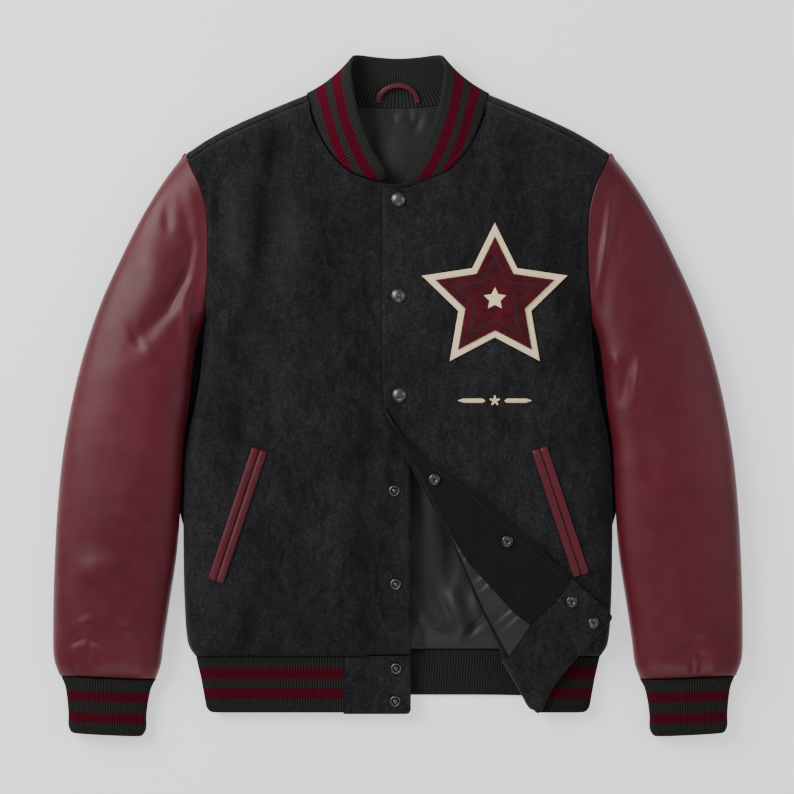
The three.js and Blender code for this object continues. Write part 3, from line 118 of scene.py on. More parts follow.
SLEEVE_HEIGHTS = [(0, 22), (0.25, 31), (0.5, 34), (0.8, 33), (0.93, 29), (1, 21)]
CUFF_SECTIONS = [
    # outer x, inner x, outer y, inner y, top z
    (371, 267.5, -308.8, -312.4, 25),
    (366.8, 272.5, -319, -321.5, 24.6),
    (364.8, 275.6, -331, -334, 24),
    (363.2, 278.2, -350, -352.5, 23),
    (362.4, 279.3, -366.5, -370, 22.2),
    (359.6, 282.4, -371.5, -375.2, 21.4),
]
HEM_SIDES = [(-286.3, 223), (-312, 217), (-343, 211.5), (-349, 207)]

# Folds: from x and y to x and y, width, depth (below 0 for a ridge)
BODY_FOLDS = [
    (-180, 240, -176, 130, 10, -2.4),
    (-130, 296, -143, 236, 9, 3.6),
    (-144, 244, -154, 118, 10, 4.8),
    (-196, 246, -200, 172, 5, 2.4),
    (-93, 276, -92, 232, 7, 2.4),
    (-118, 250, -114, 110, 16, -1.6),
    (-150, 132, -178, 46, 11, 2.4),
    (-178, 62, -180, -74, 12, 2),
    (-40, -20, -41, -226, 9, 2),
    (-150, 96, -130, -30, 16, -1.2),
    (172, 236, 176, 100, 14, 2.8),
    (-196, 70, -140, 10, 13, 2),
    (196, 66, 150, 14, 13, 2),
    (-164, -278, -158, -232, 9, 3),
    (-102, -280, -98, -244, 8, 2.4),
    (-38, -282, -40, -214, 10, 2.2),
    (190, -276, 186, -240, 9, 2),
    (-60, 200, -66, 60, 18, 1.4),
]
# Fold depth at which the wool's painted fold shade and ridge highlight are full.
FOLD_SHADE_DEPTH = 4.0
SLEEVE_FOLDS = {
    -1: [
        (-252, 222, -252, 178, 6, 3),
        (-238, 226, -223, 160, 7, 4),
        (-221, 178, -235, 120, 6, 4.5),
        (-228, 140, -254, 90, 7, 5.5),
        (-242, 110, -288, 52, 10, 4),
        (-224, 114, -211, 80, 2.8, 6),
        (-234, 245, -222, 205, 5, -2.6),
        (-223, 212, -217, 150, 5, -2.6),
        (-229, 112, -230, 24, 7, -3.6),
        (-276, 184, -264, 92, 19, -3.2),
        (-248, 245, -288, 182, 4, -1.4),
        (-256, 238, -292, 176, 3, 1.4),
        (-294, 80, -279, 50, 5, 1.8),
        (-286, 62, -260, 36, 9, -2.2),
        (-222, 30, -246, -10, 12, 2),
        (-352, -150, -300, -178, 15, 1.6),
        (-331, -175, -334, -205, 13, -1.8),
        (-345, -240, -338, -256, 11, -2),
        (-298, -244, -292, -262, 9, -1.6),
        (-289, -165, -288, -236, 14, 1.6),
        (-360, -272, -342, -261, 5, 3),
        (-344, -261, -326, -272, 5, 3),
        (-337, -270, -338, -292, 2.6, 2.6),
        (-330, -274, -329, -294, 2.4, 2.2),
    ],
    1: [
        (236, 256, 232, 200, 4, -4.4),
        (234, 218, 225, 154, 4, -4.6),
        (228, 176, 215, 100, 4, -4.2),
        (228, 244, 221, 190, 4.4, 5.4),
        (223, 210, 211, 132, 5, 5.8),
        (217, 240, 211, 200, 3.5, -1.6),
        (242, 238, 238, 158, 7, 2.2),
        (255, 230, 296, 156, 5, -1.4),
        (262, 228, 300, 160, 4, 1.2),
        (263, 42, 256, -8, 5, -2.6),
        (250, 38, 244, -14, 6, 2.8),
        (235, 48, 241, 26, 5, -1.6),
        (262, -20, 282, -110, 13, 2),
        (360, -140, 306, -170, 15, 1.6),
        (315, -190, 299, -250, 12, -2.2),
        (334, -262, 309, -280, 6, 2.8),
        (290, -286, 284, -296, 7, -1.6),
        (321, -286, 322.5, -304, 2.4, 2.6),
        (331, -290, 331, -304, 2.4, 2.2),
        (325, -281, 337, -286, 3.4, 1.6),
    ],
}
LINING_FOLDS = [
    (18, -214, 50, -252, 4, 5),
    (36, -206, 58, -250, 5, 5),
    (70, -272, 98, -240, 5, 5.5),
    (20, -246, 50, -262, 5, -4),
    (58, -206, 72, -266, 7, -4),
    (84, -216, 92, -250, 6, -3),
    (36, -62, 43, -196, 12, -3.6),
    (62, -140, 57, -216, 6, 3),
    (22, -258, 27, -279, 3, 2.4),
    (-12, 318, -3, 304, 3, 1.8),
    (11, 318, 15, 303, 3, 1.6),
    (26, 314, 17, 290, 5, 1.6),
    (-33, 312, -28, 262, 8, 1.8),
    (2, 300, -2, 240, 14, -1.4),
]

# The turned-back corner
FOLD_LINE = [
    (-14.9, -11), (2.8, -48.4), (17.6, -75.9), (33.6, -106.7), (55.6, -147.4), (75.4, -192), (94, -233),
    (122, -286), (137.4, -320), (149.7, -345.5),
]
FREE_EDGE = [
    (-14.5, -11), (-5.5, -27), (11.6, -50.6), (33.6, -67), (66.6, -88), (88.6, -106.7), (133.7, -147.4),
    (166.7, -177), (190, -199),
]
BLOCK_EDGE = [
    (190, -199), (201, -209), (221.7, -227.7), (232, -237.5), (234.5, -241.5), (233, -246), (224, -255.2),
    (194.2, -287.7), (171.5, -318), (164, -333), (160, -342), (157.6, -346.6), (154, -348.4),
    (151.2, -347.6), (149.7, -345.5),
]
FACING_SEAM = [(55.6, -147.4), (79, -183), (97.5, -203), (112, -219), (128.5, -236.5), (145.6, -249.8)]
BLOCK_SEAM = [(190, -199), (176, -219.7), (146.6, -249.5), (122, -286)]

# The collar's stations: seam x, y, z and free edge x, y, z
COLLAR_STATIONS = [
    (14, 236, 27, 7, 240.5, 27.5),
    (34.6, 241.2, 28.5, 16.5, 251.5, 31),
    (54.4, 250.3, 30, 27.5, 270, 35),
    (72.2, 268.4, 31, 36, 290, 38),
    (83.8, 287.9, 30, 43, 311, 39),
    (93.2, 312.2, 25, 48, 334, 38),
    (96.5, 323.5, 20, 51, 355, 34),
    (97.6, 330, 17, 50, 367.5, 28),
    (98.6, 333.6, 13.5, 47.5, 374, 21),
    (97, 334.8, 9, 43, 376.2, 13),
    (88, 332.6, 5, 36, 376.2, 8.5),
    (70, 328, 3, 28, 375.4, 6.5),
    (40, 322.4, 2.7, 16, 374.2, 6),
    (0, 319.8, 2.7, 0, 373.4, 6),
]
COLLAR_LEFT_END = (20, 237.6, 23.4, 12, 243, 24)
COLLAR_CROWN = 1.5
COLLAR_SAG = 5.5
COLLAR_TURN = 0.325
COLLAR_TUCK = 1.6
COLLAR_DEEP = 53.0

# Snaps
SNAP_CAPS = [(0.5, 215.5), (0.5, 110), (1.5, 1)]
SNAP_STUDS = [(-4, -104), (-2.5, -206.5), (-2, -300), (-3, -336)]
SNAP_SOCKETS = [(40, -91), (119.4, -158.4), (189.8, -224.4), (213.5, -247.5)]

# The snaps' outlines as radius and height, and their dark rings of painted shade as radius and width
CAP_PROFILE = [
    (0, 0), (7.2, 0), (7.6, 0.5), (7.6, 1.1), (7.1, 1.7), (6.2, 1.9), (5.9, 1.7), (5.4, 1.9), (4, 2.5),
    (2, 2.8), (0, 2.9),
]
STUD_PROFILE = [
    (0, 0), (5.8, 0), (6, 0.5), (5.8, 1.1), (5, 1.5), (4.3, 1.4), (3.7, 0.9), (2.4, 0.8), (2, 1.2),
    (2.1, 2.4), (1.8, 3), (1, 3.3), (0, 3.3),
]
SOCKET_PROFILE = [
    (0, 0), (6, 0), (6.2, 0.6), (6, 1.5), (5.2, 2.1), (4.2, 2.1), (3.2, 2), (2.6, 1.7), (2.4, 1),
    (2.2, 0.6), (0, 0.6),
]
CAP_SHADE_RINGS = [(5.9, 0.5), (7.6, 0.5)]
STUD_SHADE_RINGS = [(3.0, 1.3), (6.0, 0.6)]
SOCKET_SHADE_RINGS = [(0.0, 3.0), (4.7, 0.5), (6.2, 0.6)]

# Pockets, patch and loop
POCKETS = {-1: (151, -58, 199.6, -203), 1: (154.6, -57, 200.8, -196.5)}
WELT_WIDTH = 8.4
WELT_SLIT = 1.0
WELT_THICK = 2.2
WELT_LENGTH = 151
WELT_STITCH = 7.4
STAR_X = 106.0
STAR_Y = 106.0
STAR_R = 84.0
LOOP_HALF = 22.0
LOOP_BASE_Y = 324.0
LOOP_APEX_Y = 343.0
LOOP_HALF_WIDTH = 3.3
LOOP_HALF_THICK = 0.9


# Numbers and curves
def clamp(value, low, high):
    return np.minimum(high, np.maximum(low, value))


def lerp(a, b, share):
    return a + (b - a) * share


def dome(distance, radius):
    return np.sqrt(np.maximum(0, 1 - (1 - clamp(distance / radius, 0, 1)) ** 2))


def smooth(low, high, value):
    share = clamp((value - low) / (high - low), 0, 1)
    return share * share * (3 - 2 * share)


def unit(rows):
    """The same directions, each of length 1."""
    return rows / np.linalg.norm(rows, axis=1)[:, None]


def mirrored(rows, side):
    return [(row[0] * side, *row[1:]) for row in rows]


def softened(values, reach=12):
    """The running mean of the values, over as many as reach on each side."""
    window = np.ones(2 * reach + 1) / (2 * reach + 1)
    return np.convolve(np.pad(values, reach, "edge"), window, "valid")


def dense(rows, per_span=24, power=0.5):
    """A Catmull-Rom line through the rows, with steps by distance to the given power."""
    p = np.array(rows, float)
    p = np.vstack([2 * p[0] - p[1], p, 2 * p[-1] - p[-2]])
    out = []
    for i in range(1, len(p) - 2):
        p0, p1, p2, p3 = p[i - 1 : i + 3]
        d0, d1, d2 = (max(1e-6, np.linalg.norm(b - a) ** power) for a, b in ((p0, p1), (p1, p2), (p2, p3)))
        m1 = ((p1 - p0) / d0 - (p2 - p0) / (d0 + d1) + (p2 - p1) / d1) * d1
        m2 = ((p2 - p1) / d1 - (p3 - p1) / (d1 + d2) + (p3 - p2) / d2) * d1
        t = np.linspace(0, 1, per_span, endpoint=False)[:, None]
        h = (2 * t**3 - 3 * t**2 + 1, t**3 - 2 * t**2 + t, -2 * t**3 + 3 * t**2, t**3 - t**2)
        out.append(h[0] * p1 + h[1] * m1 + h[2] * p2 + h[3] * m2)
    out.append(p[-2:-1])
    return np.vstack(out)


def along(line, share):
    """Points at shares of the line's own length."""
    steps = np.linalg.norm(np.diff(line, axis=0), axis=1)
    length = np.concatenate([[0], np.cumsum(steps)])
    goal = np.asarray(share, float) * length[-1]
    return np.stack([np.interp(goal, length, line[:, k]) for k in range(line.shape[1])], -1)


def length_of(line):
    return float(np.linalg.norm(np.diff(line, axis=0), axis=1).sum())


def to_segment(x, y, a, b):
    dx, dy = b[0] - a[0], b[1] - a[1]
    t = clamp(((x - a[0]) * dx + (y - a[1]) * dy) / (dx * dx + dy * dy), 0, 1)
    return np.hypot(x - a[0] - dx * t, y - a[1] - dy * t), t


def distance_inside(line, x, y):
    """How far each place is from the line's left side or its ends, and 0 on its right side."""
    nearest = np.full(np.shape(x), np.inf)
    inside = np.zeros(np.shape(x))
    for i in range(1, len(line)):
        a, b = line[i - 1], line[i]
        away, t = to_segment(x, y, a, b)
        left = (b[0] - a[0]) * (y - a[1]) - (b[1] - a[1]) * (x - a[0]) > 0
        past = ((i == 1) & (t == 0)) | ((i == len(line) - 1) & (t == 1))
        closer = away < nearest
        inside = np.where(closer, np.where(left | past, away, 0), inside)
        nearest = np.where(closer, away, nearest)
    return inside


def fold_depth(folds, x, y):
    depth = np.zeros(np.shape(x))
    for x1, y1, x2, y2, width, deep in folds:
        away, t = to_segment(x, y, (x1, y1), (x2, y2))
        depth += deep * np.sin(math.pi * (0.06 + 0.88 * t)) * np.exp(-((away / width) ** 2))
    return depth


def table(rows, at):
    rows = sorted(rows)
    return np.interp(at, [r[0] for r in rows], [r[1] for r in rows])


SIDE_EDGE = dense(SIDE_LINE, 4)
SHOULDER_EDGE = dense(SHOULDER_LINE[::-1], 6)
OUTER_EDGE = dense(SLEEVE_OUTER[::-1], 3)
INNER_EDGE = dense(SLEEVE_INNER, 4)


# The body's surfaces
def edge_distance(x, y):
    return np.minimum(distance_inside(SIDE_EDGE, abs(x), y), distance_inside(SHOULDER_EDGE, abs(x), y))


def crown_z(x):
    return BODY_TOP_Z - PLACKET_DIP * np.exp(-((x / PLACKET_DIP_WIDTH) ** 2))


def body_top(x, y):
    edge = edge_distance(x, y)
    rise = crown_z(x)
    sides = SIDE_SEAM_Z + (rise - SIDE_SEAM_Z) * dome(edge, EDGE_ROUND)
    blouse = HEM_TOP_Z + (rise - HEM_TOP_Z) * dome(y - HEM_SEAM_Y, BLOUSE_ROUND)
    hold = dome(edge, EDGE_ROUND) * dome(y - HEM_SEAM_Y + 4, BLOUSE_ROUND)
    return np.minimum(sides, blouse) - (fold_depth(BODY_FOLDS, x, y) + rumple(x, y)) * hold


def rumple(x, y):
    """Small soft waves of the wool, strongest above the hem band."""
    wide = 1.1 * np.sin(x / 31 + 1.3 * np.sin(y / 67)) * np.sin(y / 83 + x / 140)
    gather = 0.9 * np.exp(-(((y + 270) / 26) ** 2)) * np.sin(x / 7.3 + 1.7 * np.sin(x / 23))
    return wide + gather


def body_under(x, y):
    return SIDE_SEAM_Z * (1 - dome(edge_distance(x, y), UNDER_ROUND))


def hem_top(y):
    return HEM_TOP_Z - HEM_FALL * clamp((HEM_SEAM_Y - y) / (HEM_SEAM_Y - HEM_EDGE_Y), 0, 1)


def flap_under(x, y):
    far = edge_distance(x, y) + FLAP_OVERHANG
    sides = SIDE_SEAM_Z + (crown_z(x) - SIDE_SEAM_Z) * dome(far, EDGE_ROUND)
    ease = HEM_TOP_Z + (crown_z(x) - HEM_TOP_Z) * smooth(-338, -255, y)
    return np.minimum(sides, ease) + FLAP_GAP


def right_top(x, y):
    return body_top(x, y)


def left_top(x, y):
    return body_top(x, y) - UNDERLAP_DROP * smooth(OVERLAP_X - 27, OVERLAP_X - 7, x)


def corner_top(x, y):
    return flap_under(x, y) + WOOL + SEAM_GAP


# Meshes
def add_object(name, bm, material):
    """Puts a bmesh, already in metres, into the scene as a piece that rides on the root."""
    bmesh.ops.recalc_face_normals(bm, faces=bm.faces)
    mesh = bpy.data.meshes.new(name)
    bm.to_mesh(mesh)
    bm.free()
    mesh.polygons.foreach_set("use_smooth", [True] * len(mesh.polygons))
    obj = bpy.data.objects.new(name, mesh)
    bpy.context.scene.collection.objects.link(obj)
    mesh.materials.append(material)
    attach(obj, "root")
    return obj


def grid_bmesh(points):
    """A grid of faces through an array of points (columns, rows, 3) in millimetres, with its own UV map."""
    nu, nv = points.shape[:2]
    bm = bmesh.new()
    bm.loops.layers.uv.new("UVMap")
    bmesh.ops.create_grid(bm, x_segments=nu - 1, y_segments=nv - 1, size=0.5, calc_uvs=True)
    for vert in bm.verts:
        i = round((vert.co.x + 0.5) * (nu - 1))
        j = round((vert.co.y + 0.5) * (nv - 1))
        vert.co = Vector(points[i, j]) * MM
    return bm


def face_up(bm, down=False):
    """Turns an open sheet's faces to look up, or down, as a whole."""
    bm.normal_update()
    total = sum(face.normal.z * face.calc_area() for face in bm.faces)
    if (total < 0) != down:
        bmesh.ops.reverse_faces(bm, faces=bm.faces)
    bm.normal_update()


def add_wall(bm, thickness):
    """Gives an open sheet its thickness, behind its faces. Each point moves along its own smooth normal."""
    bm.normal_update()
    sheet = bm.faces[:]
    inward = {vert: vert.normal * thickness * MM for vert in bm.verts}
    bmesh.ops.extrude_face_region(bm, geom=sheet, use_keep_orig=True)
    for vert, step in inward.items():
        vert.co -= step
    bmesh.ops.recalc_face_normals(bm, faces=bm.faces)


def shell(name, points, thickness, material, down=False):
    """A wall of cloth: an outer sheet with its thickness added behind it."""
    bm = grid_bmesh(points)
    face_up(bm, down)
    add_wall(bm, thickness)
    return add_object(name, bm, material)


def coons(low, high, first, last, us, vs):
    """A patch between four edges, each given as points at us or vs."""
    u = us[:, None, None]
    v = vs[None, :, None]
    low, high, first, last = low[:, None, :], high[:, None, :], first[None], last[None]
    place = low * (1 - v) + high * v + first * (1 - u) + last * u
    corners = (
        low[:1] * (1 - u) * (1 - v) + low[-1:] * u * (1 - v) + high[:1] * (1 - u) * v + high[-1:] * u * v
    )
    return place - corners


def relaxed(plan, rounds=60):
    """Evens out the inside of a plan, so that no two of its lines cross."""
    plan = plan.copy()
    for _ in range(rounds):
        around = plan[:-2, 1:-1] + plan[2:, 1:-1] + plan[1:-1, :-2] + plan[1:-1, 2:]
        plan[1:-1, 1:-1] = plan[1:-1, 1:-1] * 0.2 + around * 0.2
    return plan


def raised(plan, height):
    x, y = plan[..., 0], plan[..., 1]
    return np.stack([x, y, height(x, y)], -1)


def even(count, ease=0.0):
    """Shares from 0 to 1, closer together at both ends where ease is above 0."""
    t = np.linspace(0, 1, count)
    return t * (1 - ease) + (1 - np.cos(math.pi * t)) / 2 * ease


# Materials
def rgba(color, scale=1.0):
    return (*[c * scale for c in color], 1)


def new_material(name):
    material = bpy.data.materials.new(name)
    material.use_nodes = True
    nodes = material.node_tree.nodes
    nodes.clear()
    out = nodes.new("ShaderNodeOutputMaterial")
    shader = nodes.new("ShaderNodeBsdfPrincipled")
    material.node_tree.links.new(shader.outputs["BSDF"], out.inputs["Surface"])
    return material, shader


class Tree:
    """Short calls for building a node tree."""

    def __init__(self, tree):
        self.tree = tree

    def node(self, kind, inputs=None, **settings):
        made = self.tree.nodes.new(kind)
        for key, value in settings.items():
            setattr(made, key, value)
        for key, value in (inputs or {}).items():
            self.put(value, made.inputs[key])
        return made

    def put(self, value, socket):
        if isinstance(value, bpy.types.NodeSocket):
            self.tree.links.new(value, socket)
        else:
            socket.default_value = value

    def noise(self, vector, scale, detail=3.0, rough=0.5, distortion=0.0):
        inputs = {
            "Vector": vector, "Scale": scale, "Detail": detail, "Roughness": rough, "Distortion": distortion,
        }
        return self.node("ShaderNodeTexNoise", inputs).outputs["Fac"]

    def math(self, operation, a, b=0.0, c=0.0):
        made = self.node("ShaderNodeMath", {0: a, 1: b, 2: c}, operation=operation)
        return made.outputs[0]

    def remap(self, value, low, high, to_low=0.0, to_high=1.0):
        inputs = {"Value": value, "From Min": low, "From Max": high, "To Min": to_low, "To Max": to_high}
        return self.node("ShaderNodeMapRange", inputs).outputs["Result"]

    def mix(self, share, a, b, blend="MIX"):
        made = self.node("ShaderNodeMix", data_type="RGBA", blend_type=blend)
        self.put(share, made.inputs["Factor"])
        self.put(a, made.inputs["A"])
        self.put(b, made.inputs["B"])
        return made.outputs["Result"]

    def bump(self, height, strength, distance, normal=None):
        inputs = {"Height": height, "Strength": strength, "Distance": distance}
        if normal is not None:
            inputs["Normal"] = normal
        return self.node("ShaderNodeBump", inputs).outputs["Normal"]


def new_group(name, inputs, outputs):
    """A shader node group with named sockets. Returns it with its tree helper and its two ends."""
    group = bpy.data.node_groups.new(name, "ShaderNodeTree")
    for label, kind, value in inputs:
        socket = group.interface.new_socket(label, in_out="INPUT", socket_type=kind)
        if value is not None:
            socket.default_value = value
    for label, kind in outputs:
        group.interface.new_socket(label, in_out="OUTPUT", socket_type=kind)
    tree = Tree(group)
    return group, tree, tree.node("NodeGroupInput"), tree.node("NodeGroupOutput")


COLOR = "NodeSocketColor"
FLOAT = "NodeSocketFloat"
VECTOR = "NodeSocketVector"


def fibre_group():
    """Felted fibre: a mottled colour and a brushed nap, from a place on the cloth."""
    group, t, start, end = new_group(
        "Felted fibre",
        [("Vector", VECTOR, None), ("Base", COLOR, None), ("Fleck", COLOR, None), ("Nap", FLOAT, 0.5)],
        [("Color", COLOR), ("Normal", VECTOR)],
    )
    place = start.outputs["Vector"]
    stretched = t.node("ShaderNodeMapping", {"Vector": place, "Scale": (1, 0.45, 1)}).outputs["Vector"]
    cloudy = t.noise(stretched, 22, 5, 0.62, 0.4)
    brushed = t.noise(stretched, 95, 5, 0.68, 0.8)
    mottle = t.noise(place, 330, 4, 0.72, 0.6)
    fibres = t.noise(stretched, 1500, 3, 0.7, 1.6)
    broad = t.math("MULTIPLY_ADD", t.remap(brushed, 0.34, 0.68), 0.45, t.remap(cloudy, 0.34, 0.66, 0.1, 0.45))
    fine = t.math("MULTIPLY_ADD", t.remap(mottle, 0.4, 0.68), 0.6, t.remap(fibres, 0.45, 0.75, 0, 0.5))
    share = t.math("MULTIPLY", broad, t.math("ADD", fine, 0.25))
    t.put(t.mix(share, start.outputs["Base"], start.outputs["Fleck"]), end.inputs["Color"])
    height = t.math("ADD", t.math("MULTIPLY", mottle, 0.7), fibres)
    nap = t.bump(height, start.outputs["Nap"], 0.0006)
    t.put(t.bump(brushed, 0.35, 0.0022, nap), end.inputs["Normal"])
    return group


def use_group(tree, group, **inputs):
    made = tree.node("ShaderNodeGroup")
    made.node_tree = group
    for label, value in inputs.items():
        tree.put(value, made.inputs[label])
    return made


def object_place(tree):
    return tree.node("ShaderNodeTexCoord").outputs["Object"]


def uv_place(tree):
    return tree.node("ShaderNodeUVMap", uv_map="UVMap").outputs["UV"]


def set_shader(shader, **values):
    for label, value in values.items():
        shader.inputs[label.replace("_", " ")].default_value = value


def wool_material(look, name="Wool melton", base=None, fleck=None, nap=0.55):
    """Felted cloth. Where a piece has a per-point fold attribute, painted shade darkens its colour in the
    folds and a painted highlight lightens it on the ridges.
    """
    material, shader = new_material(name)
    t = Tree(material.node_tree)
    base = base or rgba(look.wool_color)
    fleck = fleck or rgba(look.wool_fleck)
    made = use_group(t, fibre(), Vector=object_place(t), Base=base, Fleck=fleck, Nap=nap)
    fold_shade = t.node("ShaderNodeAttribute", attribute_name="fold_shade").outputs["Fac"]
    # Painted shade towards half the base colour in the folds, and a painted highlight towards the fleck
    # colour on the ridges.
    color = t.mix(t.remap(fold_shade, 0, 1, 0, 0.62), made.outputs["Color"], rgba(base[:3], 0.5))
    color = t.mix(t.remap(fold_shade, -1, 0, 0.5, 0), color, fleck)
    t.put(color, shader.inputs["Base Color"])
    t.put(made.outputs["Normal"], shader.inputs["Normal"])
    set_shader(shader, Roughness=0.95, Sheen_Weight=0.06, Sheen_Roughness=0.5)
    set_shader(shader, Specular_IOR_Level=0.12)
    return material


def facing_material(look):
    name = "Facing cloth"
    base, fleck = rgba(look.facing_color), rgba(look.facing_color, 2.4)
    return material_named(name, lambda: wool_material(look, name, base, fleck, 0.3))


def leather_material(look):
    material, shader = new_material("Leather")
    t = Tree(material.node_tree)
    place = object_place(t)
    cloudy = t.noise(place, 9, 3, 0.5)
    patchy = t.noise(place, 46, 4, 0.55)
    color = t.mix(t.remap(cloudy, 0.35, 0.65), rgba(look.leather_color, 0.78), rgba(look.leather_color))
    color = t.mix(t.remap(patchy, 0.42, 0.72, 0, 0.3), color, rgba(look.leather_light))
    cells = t.node("ShaderNodeTexVoronoi", {"Vector": place, "Scale": 850.0}, feature="DISTANCE_TO_EDGE")
    grain = t.remap(cells.outputs["Distance"], 0.0, 0.14)
    color = t.mix(t.remap(grain, 0, 1, 0.2, 0), color, rgba(look.leather_color, 0.45))
    t.put(color, shader.inputs["Base Color"])
    fine = t.bump(grain, 0.2, 0.0002)
    crazed = t.bump(t.noise(place, 150, 3, 0.55), 0.14, 0.0008, fine)
    soft = t.bump(t.noise(place, 16, 2, 0.45), 0.45, 0.005, crazed)
    t.put(soft, shader.inputs["Normal"])
    t.put(t.remap(patchy, 0.3, 0.7, 0.38, 0.46), shader.inputs["Roughness"])
    set_shader(shader, Specular_IOR_Level=0.3)
    return material


def stripe_mask(t, across, bands):
    """1 inside the bands, which are low and high shares across the knit."""
    total = None
    for low, high in bands:
        rise = t.remap(across, low - 0.008, low + 0.008)
        fall = t.remap(across, high - 0.008, high + 0.008, 1, 0)
        band = t.math("MULTIPLY", rise, fall)
        total = band if total is None else t.math("ADD", total, band)
    return total


def knit_material(look, name, ribs, rows, bands, lift):
    """Ribbed knit on a UV map that runs along the band in U and across it in V. lift lightens its yarn, band
    by band, as painted light. The colour has painted shade in the furrows between ribs, and painted shade and
    highlight along the rows of loops.
    """
    material, shader = new_material(name)
    t = Tree(material.node_tree)
    split = t.node("ShaderNodeSeparateXYZ", {"Vector": uv_place(t)})
    u, v = split.outputs["X"], split.outputs["Y"]
    phase = t.math("MULTIPLY", u, ribs)
    in_rib = t.math("FRACT", phase)
    middle = t.math("ABSOLUTE", t.math("SUBTRACT", in_rib, 0.5))
    lean = t.math("MULTIPLY", middle, 0.9)
    loops = t.math("SINE", t.math("MULTIPLY", t.math("ADD", t.math("MULTIPLY", v, rows), lean), 2 * math.pi))
    place = object_place(t)
    fuzz = t.noise(place, 1400, 3, 0.7)
    # Painted shade: the yarn darkens to about a fifth of its colour in the furrows between the ribs.
    furrow = t.remap(middle, 0.26, 0.48)

    def yarn(color):
        return t.mix(furrow, rgba(color, lift), rgba(color, lift * 0.22))

    ground = yarn(look.knit_color)
    if bands:
        ground = t.mix(stripe_mask(t, v, bands), ground, yarn(look.stripe_color))
    # Painted shade and highlight along each row of loops.
    shade = t.remap(loops, -1, 1, 0.72, 1.1)
    grey = t.node("ShaderNodeCombineXYZ", {0: shade, 1: shade, 2: shade}).outputs[0]
    color = t.mix(1.0, ground, grey, "MULTIPLY")
    color = t.mix(t.remap(fuzz, 0.5, 0.8, 0, 0.08), color, (0.05, 0.045, 0.045, 1))
    t.put(color, shader.inputs["Base Color"])
    height = t.math("ADD", t.math("MULTIPLY", loops, 0.5), fuzz)
    t.put(t.bump(height, 0.5, 0.0004), shader.inputs["Normal"])
    set_shader(shader, Roughness=0.9, Sheen_Weight=0.01, Sheen_Roughness=0.5, Specular_IOR_Level=0.08)
    return material


def satin_material(look):
    material, shader = new_material("Satin lining")
    t = Tree(material.node_tree)
    place = object_place(t)
    soft = t.noise(place, 24, 4, 0.55)
    color = t.mix(t.remap(soft, 0.3, 0.7), rgba(look.satin_color), rgba(look.satin_color, 1.7))
    t.put(color, shader.inputs["Base Color"])
    threads = {"Vector": place, "Scale": 900.0, "Distortion": 2.0, "Detail": 2.0}
    waves = t.node("ShaderNodeTexWave", threads, wave_type="BANDS")
    fine = t.bump(waves.outputs["Fac"], 0.08, 0.0001)
    t.put(t.bump(t.noise(place, 38, 2, 0.45), 0.3, 0.003, fine), shader.inputs["Normal"])
    set_shader(shader, Roughness=0.46, Specular_IOR_Level=0.25, Sheen_Weight=0.05, Sheen_Roughness=0.4)
    return material


def chenille_material(look):
    material, shader = new_material("Chenille")
    t = Tree(material.node_tree)
    place = object_place(t)
    loops = t.node("ShaderNodeTexVoronoi", {"Vector": place, "Scale": 620.0}, feature="F1")
    near = t.remap(loops.outputs["Distance"], 0.0, 0.75, 1, 0)
    cloudy = t.noise(place, 60, 3, 0.5)
    # Painted shade: the pile darkens to about a third of its colour away from the middle of each loop,
    # between the loops.
    color = t.mix(near, rgba(look.chenille_color, 0.35), rgba(look.chenille_color))
    color = t.mix(t.remap(cloudy, 0.4, 0.7, 0, 0.4), color, rgba(look.chenille_color, 1.6))
    t.put(color, shader.inputs["Base Color"])
    t.put(t.bump(near, 0.9, 0.001), shader.inputs["Normal"])
    set_shader(shader, Roughness=1.0, Sheen_Weight=0.25, Sheen_Roughness=0.5, Specular_IOR_Level=0.1)
    return material


def metal_material(look):
    """Snap metal, near black in the rings that the lathe marks: painted shade in the grooves, the socket's
    hollow and round the rims, and one dark ring on the socket's face.
    """
    material, shader = new_material("Snap metal")
    t = Tree(material.node_tree)
    worn = t.noise(object_place(t), 420, 4, 0.6)
    light = (*[min(1, c * 1.8) for c in look.metal_color], 1)
    color = t.mix(t.remap(worn, 0.35, 0.7), rgba(look.metal_color), light)
    # Painted shade: near black where the ring attribute is set.
    deep = t.node("ShaderNodeAttribute", attribute_name="ring_shade").outputs["Fac"]
    color = t.mix(deep, color, (0.006, 0.006, 0.006, 1))
    t.put(color, shader.inputs["Base Color"])
    t.put(t.remap(worn, 0.3, 0.7, 0.26, 0.44), shader.inputs["Roughness"])
    t.put(t.bump(worn, 0.08, 0.0002), shader.inputs["Normal"])
    set_shader(shader, Metallic=1.0)
    return material


def thread_material(name, color):
    material, shader = new_material(name)
    t = Tree(material.node_tree)
    twist = t.noise(object_place(t), 2600, 2, 0.5)
    t.put(t.mix(twist, rgba(color, 0.6), rgba(color)), shader.inputs["Base Color"])
    t.put(t.bump(twist, 0.3, 0.0002), shader.inputs["Normal"])
    set_shader(shader, Roughness=0.7, Sheen_Weight=0.1)
    return material


def floor_material(look):
    material, shader = new_material("Floor")
    t = Tree(material.node_tree)
    soft = t.noise(object_place(t), 6, 3, 0.5)
    color = t.mix(t.remap(soft, 0.3, 0.7, 0, 0.3), rgba(look.floor_color), rgba(look.floor_color, 0.98))
    t.put(color, shader.inputs["Base Color"])
    set_shader(shader, Roughness=0.9, Specular_IOR_Level=0.2)
    set_shader(shader, Emission_Color=(1, 1, 1, 1), Emission_Strength=0.6)
    return material


